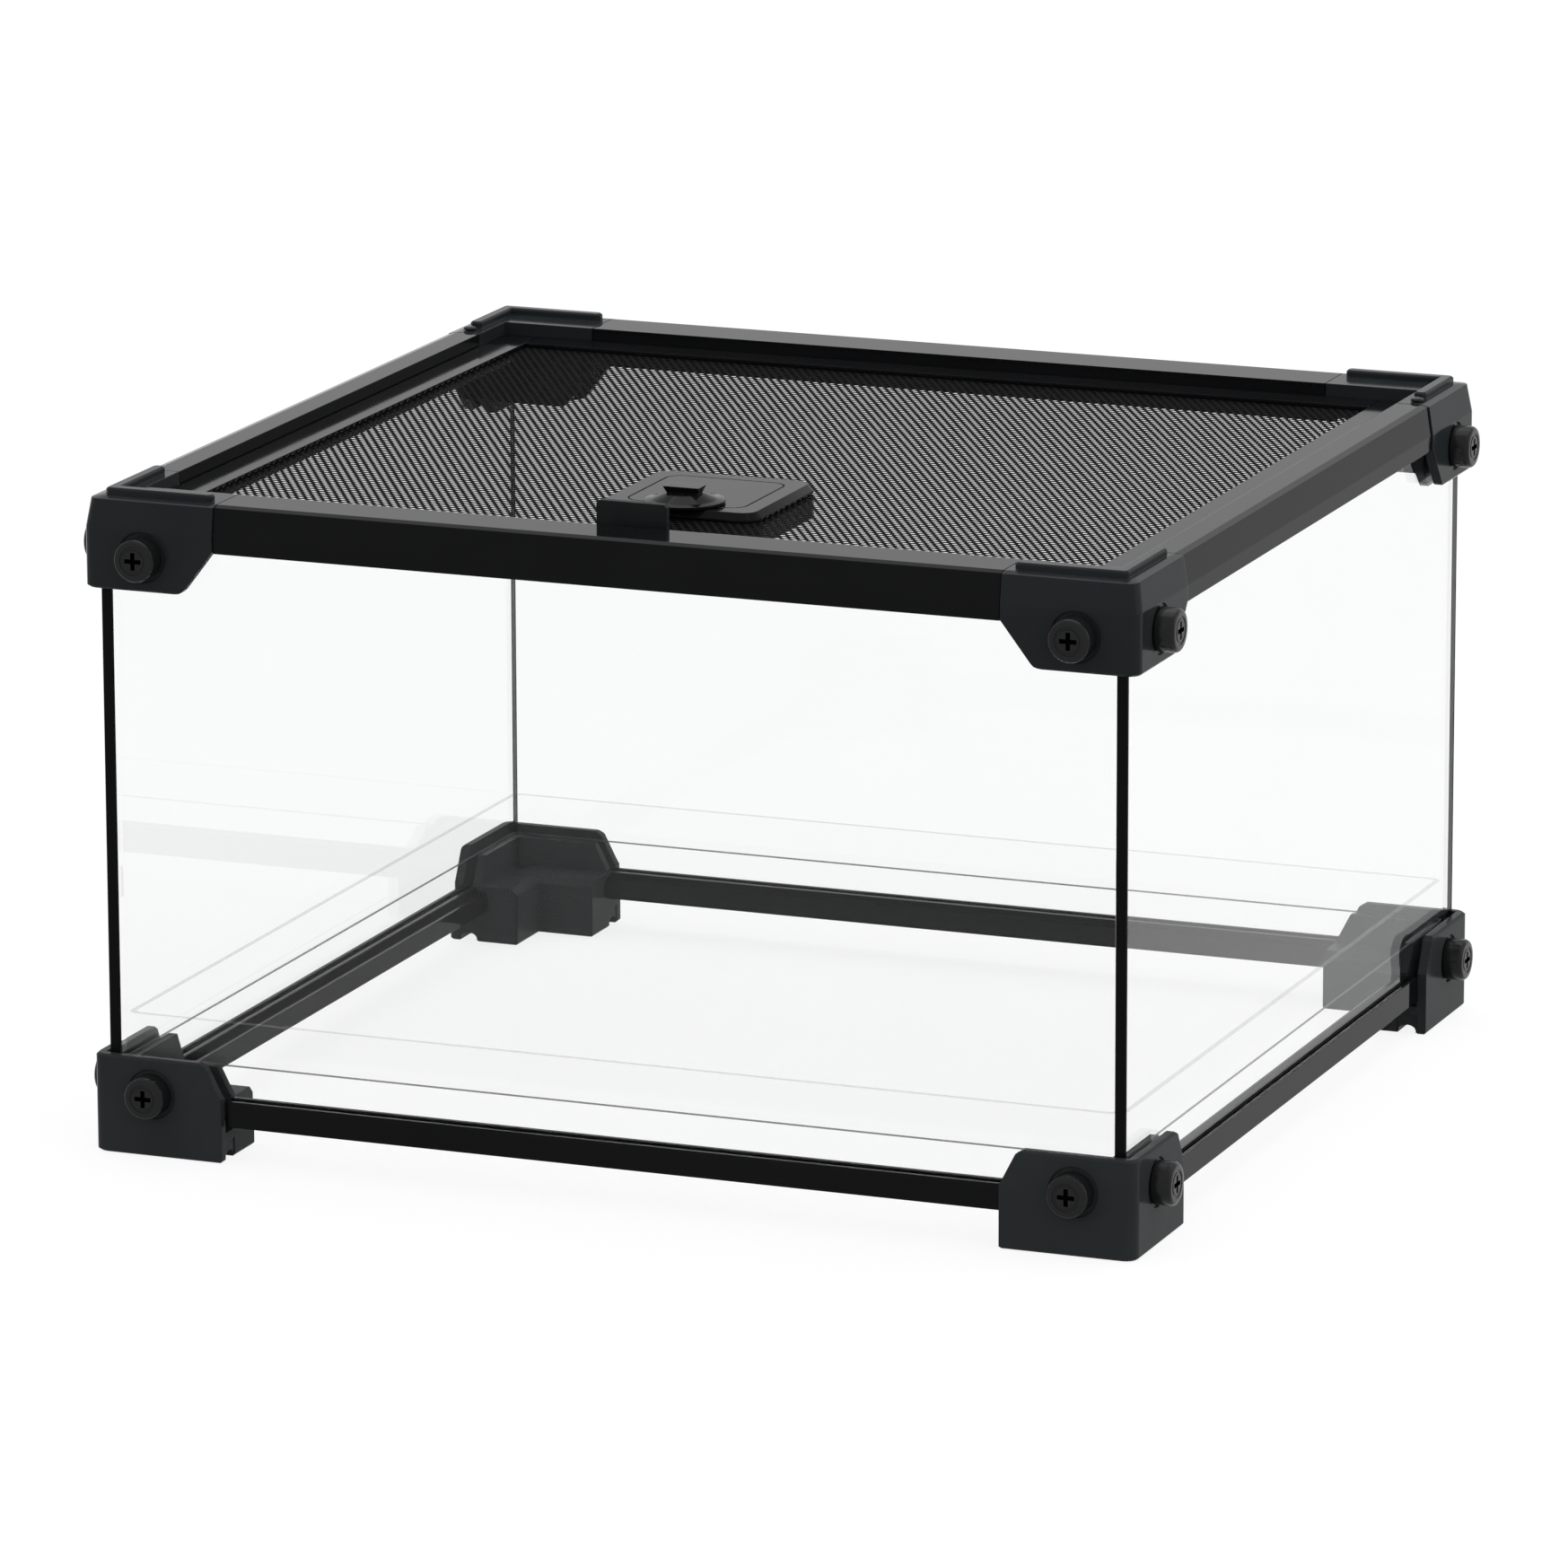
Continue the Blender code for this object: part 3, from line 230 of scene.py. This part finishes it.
clearLook = {
    "glass": dict(
        name="clearGlass", tones=((0.955, 0.958, 0.958), (0.962, 0.965, 0.965)),
        gloss=(0.0, 0.004), index=1.18, shadowTint=(0.975, 0.978, 0.978),
    ),
}

thinLook = {
    "floorGlass": dict(name="floorGlass", tones=paleGlassTones, gloss=(0.04, 0.08), alpha=0.010),
    "tray": dict(name="clearPlastic", tones=plasticTones, gloss=(0.05, 0.10), alpha=0.006),
    # dark veil on the floor pane's edge: painted shade, drawn as a thin line
    "glassEdge": dict(
        name="floorPaneEdgePaintedShade", tones=((0.03, 0.04, 0.04), (0.05, 0.06, 0.06)),
        gloss=(0.30, 0.45), alpha=0.55,
    ),
    "glassEnd": dict(name="hiddenGlassEnd", tones=paleGlassTones, gloss=(0.3, 0.4), alpha=0.02),
    # denser veil on the tray's upper edge: painted light, drawn as a line
    "trayRimPaintedLine": dict(name="clearPlasticRimPaintedLine", tones=plasticTones, gloss=(0.15, 0.25), alpha=0.30),
}

finishes = {}
for make, table in ((solidMaterial, solidLook), (clearMaterial, clearLook), (thinMaterial, thinLook)):
    finishes.update((key, make(**values)) for key, values in table.items())
print("materials made", len(finishes))


# Mesh helpers

def linkObject(name, data):
    item = bpy.data.objects.new(name, data)
    bpy.context.scene.collection.objects.link(item)
    return item


def meshObject(name, verts, faces):
    mesh = bpy.data.meshes.new(name)
    mesh.from_pydata([tuple(v) for v in verts], [], [tuple(f) for f in faces])
    mesh.update()
    return linkObject(name, mesh)


def smoothMesh(mesh, angle):
    mesh.shade_smooth()
    mesh.set_sharp_from_angle(angle=math.radians(angle))


def addPiece(name, verts, faces, finish, body, slotName):
    item = meshObject(name, verts, faces)
    item.data.materials.append(finishes[finish])
    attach(item, body)
    return item


def editMesh(item, change):
    work = bmesh.new()
    work.from_mesh(item.data)
    change(work)
    work.to_mesh(item.data)
    work.free()
    return item


def mergePoints(work):
    bmesh.ops.remove_doubles(work, verts=work.verts, dist=mergeNear)


def turnOutward(work):
    bmesh.ops.recalc_face_normals(work, faces=work.faces)


def boxMesh(low, high):
    xs, ys, zs = zip(low, high)
    verts = [(x, y, z) for z in zs for y in ys for x in xs]
    faces = [(0, 2, 3, 1), (4, 5, 7, 6), (0, 1, 5, 4), (2, 6, 7, 3), (0, 4, 6, 2), (1, 3, 7, 5)]
    return verts, faces


# Fine perforated sheet of the lid

netLook = {
    "pitchX": 2.5 * mm,  # centre to centre along a row
    "pitchY": 2.06 * mm,  # row to row
    "holeRadius": 0.875 * mm,
    "thick": 0.17 * mm,
    "top": 176.8 * mm,
    "plainX": (-17.0 * mm, 17.0 * mm),  # patch without holes under the latch
    "plainY": (-88.5 * mm, -54.5 * mm),
}


def holeRings():
    # around one hole, anticlockwise from its lower left: the edge of its cell, and the hole
    cell = np.array([(-1, -1), (0, -1), (1, -1), (1, 0), (1, 1), (0, 1), (-1, 1), (-1, 0)], float)
    turns = np.radians([225, 270, 315, 0, 45, 90, 135, 180])
    hole = np.stack([np.cos(turns), np.sin(turns)], 1)
    return cell * (netLook["pitchX"] / 2, netLook["pitchY"] / 2), hole * netLook["holeRadius"]


def buildNet():
    low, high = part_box("lid_net")
    stepX, stepY = netLook["pitchX"], netLook["pitchY"]
    countX = int((high.x - low.x) / stepX)
    countY = int((high.y - low.y) / stepY)
    startX = -countX * stepX / 2
    startY = (low.y + high.y) / 2 - countY * stepY / 2
    plainX, plainY = netLook["plainX"], netLook["plainY"]
    rings = holeRings()
    count = len(rings[0])
    verts, faces, holes = [], [], 0
    for row in range(countY):
        odd = row % 2  # every other row is shifted by half a step
        for col in range(countX - odd):
            x = startX + (col + 0.5) * stepX + stepX / 2 * odd
            y = startY + (row + 0.5) * stepY
            if plainX[0] < x < plainX[1] and plainY[0] < y < plainY[1]:
                continue
            holes += 1
            topCell = len(verts)
            topHole, lowCell, lowHole = (topCell + count * i for i in (1, 2, 3))
            for z in (netLook["top"], netLook["top"] - netLook["thick"]):
                for ring in rings:
                    verts.extend((x + dx, y + dy, z) for dx, dy in ring)
            for i in range(count):
                j = (i + 1) % count
                faces.append((topCell + i, topCell + j, topHole + j, topHole + i))
                faces.append((lowCell + j, lowCell + i, lowHole + i, lowHole + j))
                faces.append((topHole + i, topHole + j, lowHole + j, lowHole + i))
    sheet = addPiece("netSheet", verts, faces, "net", "lid", "net_black")
    editMesh(sheet, mergePoints)
    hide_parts("lid_net")
    print("net holes", holes)


buildNet()


# Thumbscrews

screwLook = {  # outlines as radius and height above the tank's outer face, in mm
    "shank": ((0, -3.5), (1.7, -3.5), (1.9, -3.2), (1.9, -0.2)),
    "barrel": ((5.65, -0.2), (5.9, 0.05), (5.88, 4.45), (5.74, 4.90), (5.48, 5.26)),
    "face": ((5.2, 5.45), (4.95, 5.5), (3.9, 5.5)),
    "groove": ((3.75, 5.25), (3.2, 5.25)),
    "middle": ((3.05, 5.48), (0, 5.48)),
    "out": 5.5 * mm,
    "crossLong": 2.40 * mm,
    "crossWide": 0.62 * mm,
    "crossDeep": 1.3 * mm,
    "paintedShadeLong": 1.02,  # reach of the painted shade on the cross's faces, in its own length, width and depth
    "paintedShadeWide": 1.05,
    "paintedShadeDeep": 1.1,
    "paintedShadeTop": 0.2 * mm,  # top of the painted shade, below the screw's face
    "sides": 72,
    "smoothAngle": 32,
}


def lathe(profile, sides):
    verts, faces, rows = [], [], []
    for radius, height in profile:
        if radius == 0:
            rows.append([len(verts)])
            verts.append((0, 0, height))
            continue
        rows.append(list(range(len(verts), len(verts) + sides)))
        for i in range(sides):
            turn = 2 * math.pi * i / sides
            verts.append((radius * math.cos(turn), radius * math.sin(turn), height))
    for lower, upper in zip(rows, rows[1:]):
        for i in range(sides):
            j = (i + 1) % sides
            if len(lower) == 1:
                faces.append((lower[0], upper[j], upper[i]))
            elif len(upper) == 1:
                faces.append((lower[i], lower[j], upper[0]))
            else:
                faces.append((lower[i], lower[j], upper[j], upper[i]))
    return verts, faces


def carve(item, tool):
    step = item.modifiers.new("step", "BOOLEAN")
    step.operation = "DIFFERENCE"
    step.solver = "EXACT"
    step.object = tool
    graph = bpy.context.evaluated_depsgraph_get()
    made = bpy.data.meshes.new_from_object(item.evaluated_get(graph), depsgraph=graph)
    item.modifiers.clear()
    item.data = made
    bpy.data.objects.remove(tool, do_unlink=True)


# faces inside the cross recess, which get the painted shade
def isInPaintedCrossShade(center):
    s = screwLook
    narrow, wide = sorted((abs(center.x), abs(center.y)))
    if narrow >= s["paintedShadeWide"] * s["crossWide"] or wide >= s["paintedShadeLong"] * s["crossLong"]:
        return False
    return s["out"] - s["paintedShadeDeep"] * s["crossDeep"] < center.z < s["out"] - s["paintedShadeTop"]


def screwMesh():
    s = screwLook
    parts = ("shank", "barrel", "face", "groove", "middle")
    profile = [(radius * mm, height * mm) for part in parts for radius, height in s[part]]
    item = editMesh(meshObject("screwShape", *lathe(profile, s["sides"])), turnOutward)
    low, high = s["out"] - s["crossDeep"], s["out"] + mm
    long, wide = s["crossLong"], s["crossWide"]
    for name, x, y in (("crossA", long, wide), ("crossB", wide, long)):
        carve(item, editMesh(meshObject(name, *boxMesh((-x, -y, low), (x, y, high))), turnOutward))
    mesh = item.data
    bpy.data.objects.remove(item)
    mesh.materials.clear()
    mesh.materials.append(finishes["screw"])
    mesh.materials.append(finishes["screwCrossPaintedShade"])
    for polygon in mesh.polygons:
        # painted shade on the faces inside the cross recess
        polygon.material_index = 1 if isInPaintedCrossShade(polygon.center) else 0
    smoothMesh(mesh, s["smoothAngle"])
    return mesh


def screwPlace(name):
    # where the screw's axis meets the tank's outer face, and its direction outwards
    low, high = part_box(name)
    middle = (low + high) / 2
    if name.endswith(("_front", "_back")):
        axis = Vector((0, -1 if name.endswith("_front") else 1, 0))
        return Vector((middle.x, axis.y * halfDepth, middle.z)), axis
    axis = Vector((-1 if name.endswith("_left") else 1, 0, 0))
    return Vector((axis.x * halfWidth, middle.y, middle.z)), axis


def buildScrews():
    shape = screwMesh()
    names = sorted(name for name in nodes if name.startswith("screw_"))
    for name in names:
        base, axis = screwPlace(name)
        across = Vector((0, 0, 1)).cross(axis).normalized()
        turn = Matrix((across, axis.cross(across), axis)).transposed()
        item = linkObject("thumbscrew" + name.removeprefix("screw"), shape.copy())
        item.data.transform(Matrix.Translation(base) @ turn.to_4x4())
        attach(item, "tank")
        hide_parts(name)
    print("screws", len(names))


buildScrews()


# Black gasket lines in the bottom rails, between the outer lip and the glass

gasketLook = {
    "top": 16.2 * mm,
    "low": 11.3 * mm,
    "near": 3.63 * mm,  # faces of the strip, inwards from the tank's outside
    "far": 3.87 * mm,
    "end": 38.6 * mm,  # clear of the feet
}


def buildGaskets():
    g = gasketLook
    for name, isSide, sign in tankSides:
        half = (halfDepth if isSide else halfWidth) - g["end"]
        outer = halfWidth if isSide else halfDepth
        near, far = sorted((sign * (outer - g["near"]), sign * (outer - g["far"])))
        if isSide:
            low, high = (near, -half, g["low"]), (far, half, g["top"])
        else:
            low, high = (-half, near, g["low"]), (half, far, g["top"])
        addPiece("gasket_" + name, *boxMesh(low, high), "seal", "tank", "seal_black")
    print("gasket lines", len(tankSides))


buildGaskets()


# Latch plate with its broad sloping edge

plateLook = {
    "half": 23.5 * mm,
    "radius": 5.5 * mm,
    "edge": 0.4 * mm,  # chamfer of the plain plate
    "thick": 2.3 * mm,
    "slopeIn": 1.5 * mm,
    "slopeLow": 0.5 * mm,  # height of the edge left below the slope
    "near": 0.05 * mm,
    "smoothAngle": 25,
}


def clamp(value, limit):
    return max(-limit, min(limit, value))


def slopeEdge(work, low, high):
    # the chamfer's lower points go down, and its upper points go inwards
    p = plateLook
    midX, midY = (low.x + high.x) / 2, (low.y + high.y) / 2
    straight = p["half"] - p["radius"]
    moved = 0
    for vertex in work.verts:
        point = vertex.co
        place = Vector((point.x - midX, point.y - midY))
        core = Vector((clamp(place.x, straight), clamp(place.y, straight)))
        reach = (place - core).length
        isOuter = abs(reach - p["radius"]) < p["near"]
        isInner = abs(reach - (p["radius"] - p["edge"])) < p["near"]
        if isOuter and abs(point.z - (high.z - p["edge"])) < p["near"]:
            point.z = high.z - p["thick"] + p["slopeLow"]
            moved += 1
        elif isInner and abs(point.z - high.z) < p["near"]:
            spot = core + (place - core) * ((p["radius"] - p["slopeIn"]) / reach)
            point.x, point.y = midX + spot.x, midY + spot.y
            moved += 1
    print("plate edge points", moved)


def buildPlate():
    node = nodes["latch_plate"]
    work = bmesh.new()
    work.from_mesh(node.data)
    work.transform(node.matrix_world)
    mergePoints(work)
    work.verts.index_update()
    slopeEdge(work, *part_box("latch_plate"))
    verts = [vertex.co.copy() for vertex in work.verts]
    faces = [[vertex.index for vertex in face.verts] for face in work.faces]
    work.free()
    item = addPiece("latchPlate", verts, faces, "latch", "lid", "moulded_black")
    smoothMesh(item.data, plateLook["smoothAngle"])
    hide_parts("latch_plate")


buildPlate()


# Lower edge of the floor pane, with painted shade drawn as a thin dark line

edgeLook = {"size": 0.38 * mm, "proud": 0.02 * mm}


def buildFloorEdge():
    low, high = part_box("floor_pane")
    size, proud = edgeLook["size"], edgeLook["proud"]
    bottom, top = low.z - proud, low.z + size
    strips = {
        "front": ((low.x, high.x), (low.y - proud, low.y + size)),
        "back": ((low.x, high.x), (high.y - size, high.y + proud)),
        "left": ((low.x - proud, low.x + size), (low.y + size, high.y - size)),
        "right": ((high.x - size, high.x + proud), (low.y + size, high.y - size)),
    }
    for name, (xs, ys) in strips.items():
        box = boxMesh((xs[0], ys[0], bottom), (xs[1], ys[1], top))
        addPiece("floorEdge_" + name, *box, "glassEdge", "tank", "clear_glass")
    print("floor edge strips", len(strips))


buildFloorEdge()


# End walls that close the feet's recesses down to a low arch

webLook = {
    "arm": 38.0 * mm,  # length of a foot's arm from the tank's outer face
    "setBack": 0.25 * mm,
    "thick": 1.5 * mm,
    "near": 2.65 * mm,  # sides of the recess, inwards from the outer face
    "far": 8.5 * mm,
    "bottom": 0.3 * mm,
    "top": 5.6 * mm,
    "archLow": 0.9 * mm,
    "archHigh": 2.5 * mm,
    "wall": 0.35 * mm,
    "steps": 6,
}


def webOutline():
    # outline of one end wall across the recess, as (inwards, up), with its arch at the bottom
    w = webLook
    near, far, bottom, top = w["near"], w["far"], w["bottom"], w["top"]
    left, right = near + w["wall"], far - w["wall"]
    middle, reach = (left + right) / 2, (right - left) / 2
    points = [(near, bottom), (near, top), (far, top), (far, bottom), (right, bottom)]
    for i in range(w["steps"] + 1):
        turn = math.pi * i / w["steps"]
        up = w["archLow"] + (w["archHigh"] - w["archLow"]) * math.sin(turn)
        points.append((middle + reach * math.cos(turn), up))
    return points + [(left, bottom)]


def buildWeb(name, outline, end, side, isCross):
    outer = webLook["arm"] - webLook["setBack"]
    verts = []
    for along in (outer - webLook["thick"], outer):
        for inwards, up in outline:
            a, b = (along, inwards) if isCross else (inwards, along)
            verts.append((side * (halfWidth - a), end * (halfDepth - b), up))
    count = len(outline)
    faces = [tuple(range(count)), tuple(range(2 * count - 1, count - 1, -1))]
    faces += [(i, (i + 1) % count, count + (i + 1) % count, count + i) for i in range(count)]
    editMesh(addPiece(name, verts, faces, "foot", "tank", "moulded_black"), turnOutward)


def buildWebs():
    outline = webOutline()
    for endName, end in (("front", -1), ("back", 1)):
        for sideName, side in (("left", -1), ("right", 1)):
            for armName in ("cross", "side"):
                name = "_".join(("footWeb", endName, sideName, armName))
                buildWeb(name, outline, end, side, armName == "cross")
    print("recess ends closed")


buildWebs()


# Finishes of the pieces taken over from the frame

finishOf = (
    ("foot_", "foot"), ("bracket_", "bracket"), ("rail_", "rail"), ("seal_", "seal"),
    ("pane_", "glass"), ("floor_pane", "floorGlass"), ("liner_tray", "tray"),
    ("hinge_pin", "steel"), ("hinge_plug", "screw"), ("lid_bar", "lid"), ("lid_pull", "pull"),
    ("latch_bolt", "screw"), ("latch_", "latch"),
)

partLook = {
    "rimHigh": 1.2 * mm,  # upper part of the tray's wall, painted as a line
    "endFacing": 0.9,  # how squarely a face looks sideways to be a pane's end
}


def markRim(item):
    # painted light: the tray's upper edge gets a denser grey veil that stands in for the light this
    # edge catches
    mesh = item.data
    mesh.materials.append(finishes["trayRimPaintedLine"])
    rimLow = max(vertex.co.z for vertex in mesh.vertices) - partLook["rimHigh"]
    for polygon in mesh.polygons:
        if all(mesh.vertices[i].co.z > rimLow for i in polygon.vertices):
            polygon.material_index = 1


def markEnds(item):
    # ends of a pane that stand behind the corner seals
    item.data.materials.append(finishes["glassEnd"])
    for polygon in item.data.polygons:
        if abs(polygon.normal.x) > partLook["endFacing"]:
            polygon.material_index = 1


def paintNodes():
    for name, item in nodes.items():
        if item.hide_render:  # replaced by a finer piece
            continue
        key = next(finish for start, finish in finishOf if name.startswith(start))
        item.data.materials.clear()
        item.data.materials.append(finishes[key])
        for polygon in item.data.polygons:
            polygon.material_index = 0
        if name == "liner_tray":
            markRim(item)
        if name in ("pane_front", "pane_back"):
            markEnds(item)


paintNodes()
print("pieces painted")


# Floor, light and camera

stageLook = {
    "floorHalf": 6.0,  # metres
    "floorTop": -0.2 * mm,
    "floorColour": 0.15,
    "floorBounce": 0.25,  # white added where the floor only lights other surfaces
    "floorGlow": 0.88,  # white added where the camera sees the floor, also through the glass
    "worldCamera": 1.02,  # white seen by the camera and through the glass
    "worldLight": 0.75,  # white that lights and reflects
}

lampLook = {  # place and size in metres, power in watts
    "topSoft": {"place": (0.0, 0.3, 1.6), "size": (1.6, 1.4), "power": 9.0},
    "rightSoft": {"place": (1.5, 0.3, 0.7), "size": (1.0, 1.0), "power": 4.0},
    "frontSoft": {"place": (-0.6, -1.8, 0.9), "size": (1.0, 0.8), "power": 1.0},
}
lampAim = (0, 0, 0.1)

cameraLook = {
    "yaw": 21.724,  # degrees to the right of the front
    "pitch": 13.780,
    "roll": -0.172,
    "sensor": 36.0,  # mm
    "focal": 11202.0 / 1747.0,  # in widths of the sensor
    "distance": 2.7893,  # metres, as are the next ones
    "target": (0.0, 0.0095, 0.095),
    "offset": (-0.00729, -0.01337),  # target moved left and down, so the tank sits right and up
    "clip": (0.05, 50.0),
}


def seenDirectly(tree):
    # 1 for what the camera sees, straight, mirrored or through clear pieces
    path = tree.nodes.new("ShaderNodeLightPath").outputs
    result = path["Is Camera Ray"]
    for name in ("Is Transmission Ray", "Is Glossy Ray"):
        result = largerOf(tree, result, path[name])
    return result


def twoWhites(tree, kind, unseen, seen):
    # one strength for what only lights, and another for what the camera sees
    mix = tree.nodes.new("ShaderNodeMixShader")
    tree.links.new(seenDirectly(tree), mix.inputs["Fac"])
    for i, strength in ((1, unseen), (2, seen)):
        white = addNode(tree, kind, Color=(1, 1, 1, 1), Strength=strength)
        tree.links.new(white.outputs[0], mix.inputs[i])
    return mix.outputs["Shader"]


def buildFloor():
    s = stageLook
    half = s["floorHalf"]
    corners = [(-half, -half, 0), (half, -half, 0), (half, half, 0), (-half, half, 0)]
    floor = meshObject("floor", corners, [(0, 1, 2, 3)])
    floor.location.z = s["floorTop"]
    material, tree, out = newMaterial("floorWhite")
    matt = addNode(tree, "ShaderNodeBsdfDiffuse", Color=(s["floorColour"],) * 3 + (1.0,))
    white = twoWhites(tree, "ShaderNodeEmission", s["floorBounce"], s["floorGlow"])
    both = tree.nodes.new("ShaderNodeAddShader")
    tree.links.new(matt.outputs["BSDF"], both.inputs[0])
    tree.links.new(white, both.inputs[1])
    tree.links.new(both.outputs["Shader"], out.inputs["Surface"])
    floor.data.materials.append(material)


def buildWorld():
    world = bpy.data.worlds.new("studio")
    bpy.context.scene.world = world
    world.use_nodes = True
    tree = world.node_tree
    emptyTree(tree)
    out = tree.nodes.new("ShaderNodeOutputWorld")
    white = twoWhites(tree, "ShaderNodeBackground", stageLook["worldLight"], stageLook["worldCamera"])
    tree.links.new(white, out.inputs["Surface"])


def buildLights():
    for name, lamp in lampLook.items():
        data = bpy.data.lights.new(name, "AREA")
        data.shape = "RECTANGLE"
        data.size, data.size_y = lamp["size"]
        data.energy = lamp["power"]
        item = linkObject(name, data)
        item.location = lamp["place"]
        aim = Vector(lampAim) - Vector(lamp["place"])
        item.rotation_euler = aim.to_track_quat("-Z", "Y").to_euler()


def buildCamera():
    c = cameraLook
    yaw, pitch, roll = (math.radians(c[key]) for key in ("yaw", "pitch", "roll"))
    flat = math.cos(pitch)
    forward = Vector((-math.sin(yaw) * flat, math.cos(yaw) * flat, -math.sin(pitch)))
    level = Vector((math.cos(yaw), math.sin(yaw), 0))
    upright = level.cross(forward)
    right = math.cos(roll) * level + math.sin(roll) * upright
    up = -math.sin(roll) * level + math.cos(roll) * upright
    target = Vector(c["target"]) + right * c["offset"][0] + up * c["offset"][1]
    data = bpy.data.cameras.new("camera")
    data.sensor_width = c["sensor"]
    data.lens = c["focal"] * c["sensor"]
    data.clip_start, data.clip_end = c["clip"]
    camera = linkObject("camera", data)
    turn = Matrix((right, up, -forward)).transposed()
    camera.matrix_world = Matrix.Translation(target - forward * c["distance"]) @ turn.to_4x4()
    bpy.context.scene.camera = camera


buildFloor()
buildWorld()
buildLights()
buildCamera()
scene = bpy.context.scene
scene.view_settings.view_transform = "Standard"
scene.cycles.max_bounces = 24  # enough for four panes seen one behind the other
scene.cycles.transmission_bounces = 20
scene.cycles.transparent_max_bounces = 24
scene.cycles.glossy_bounces = 6
print("stage set")
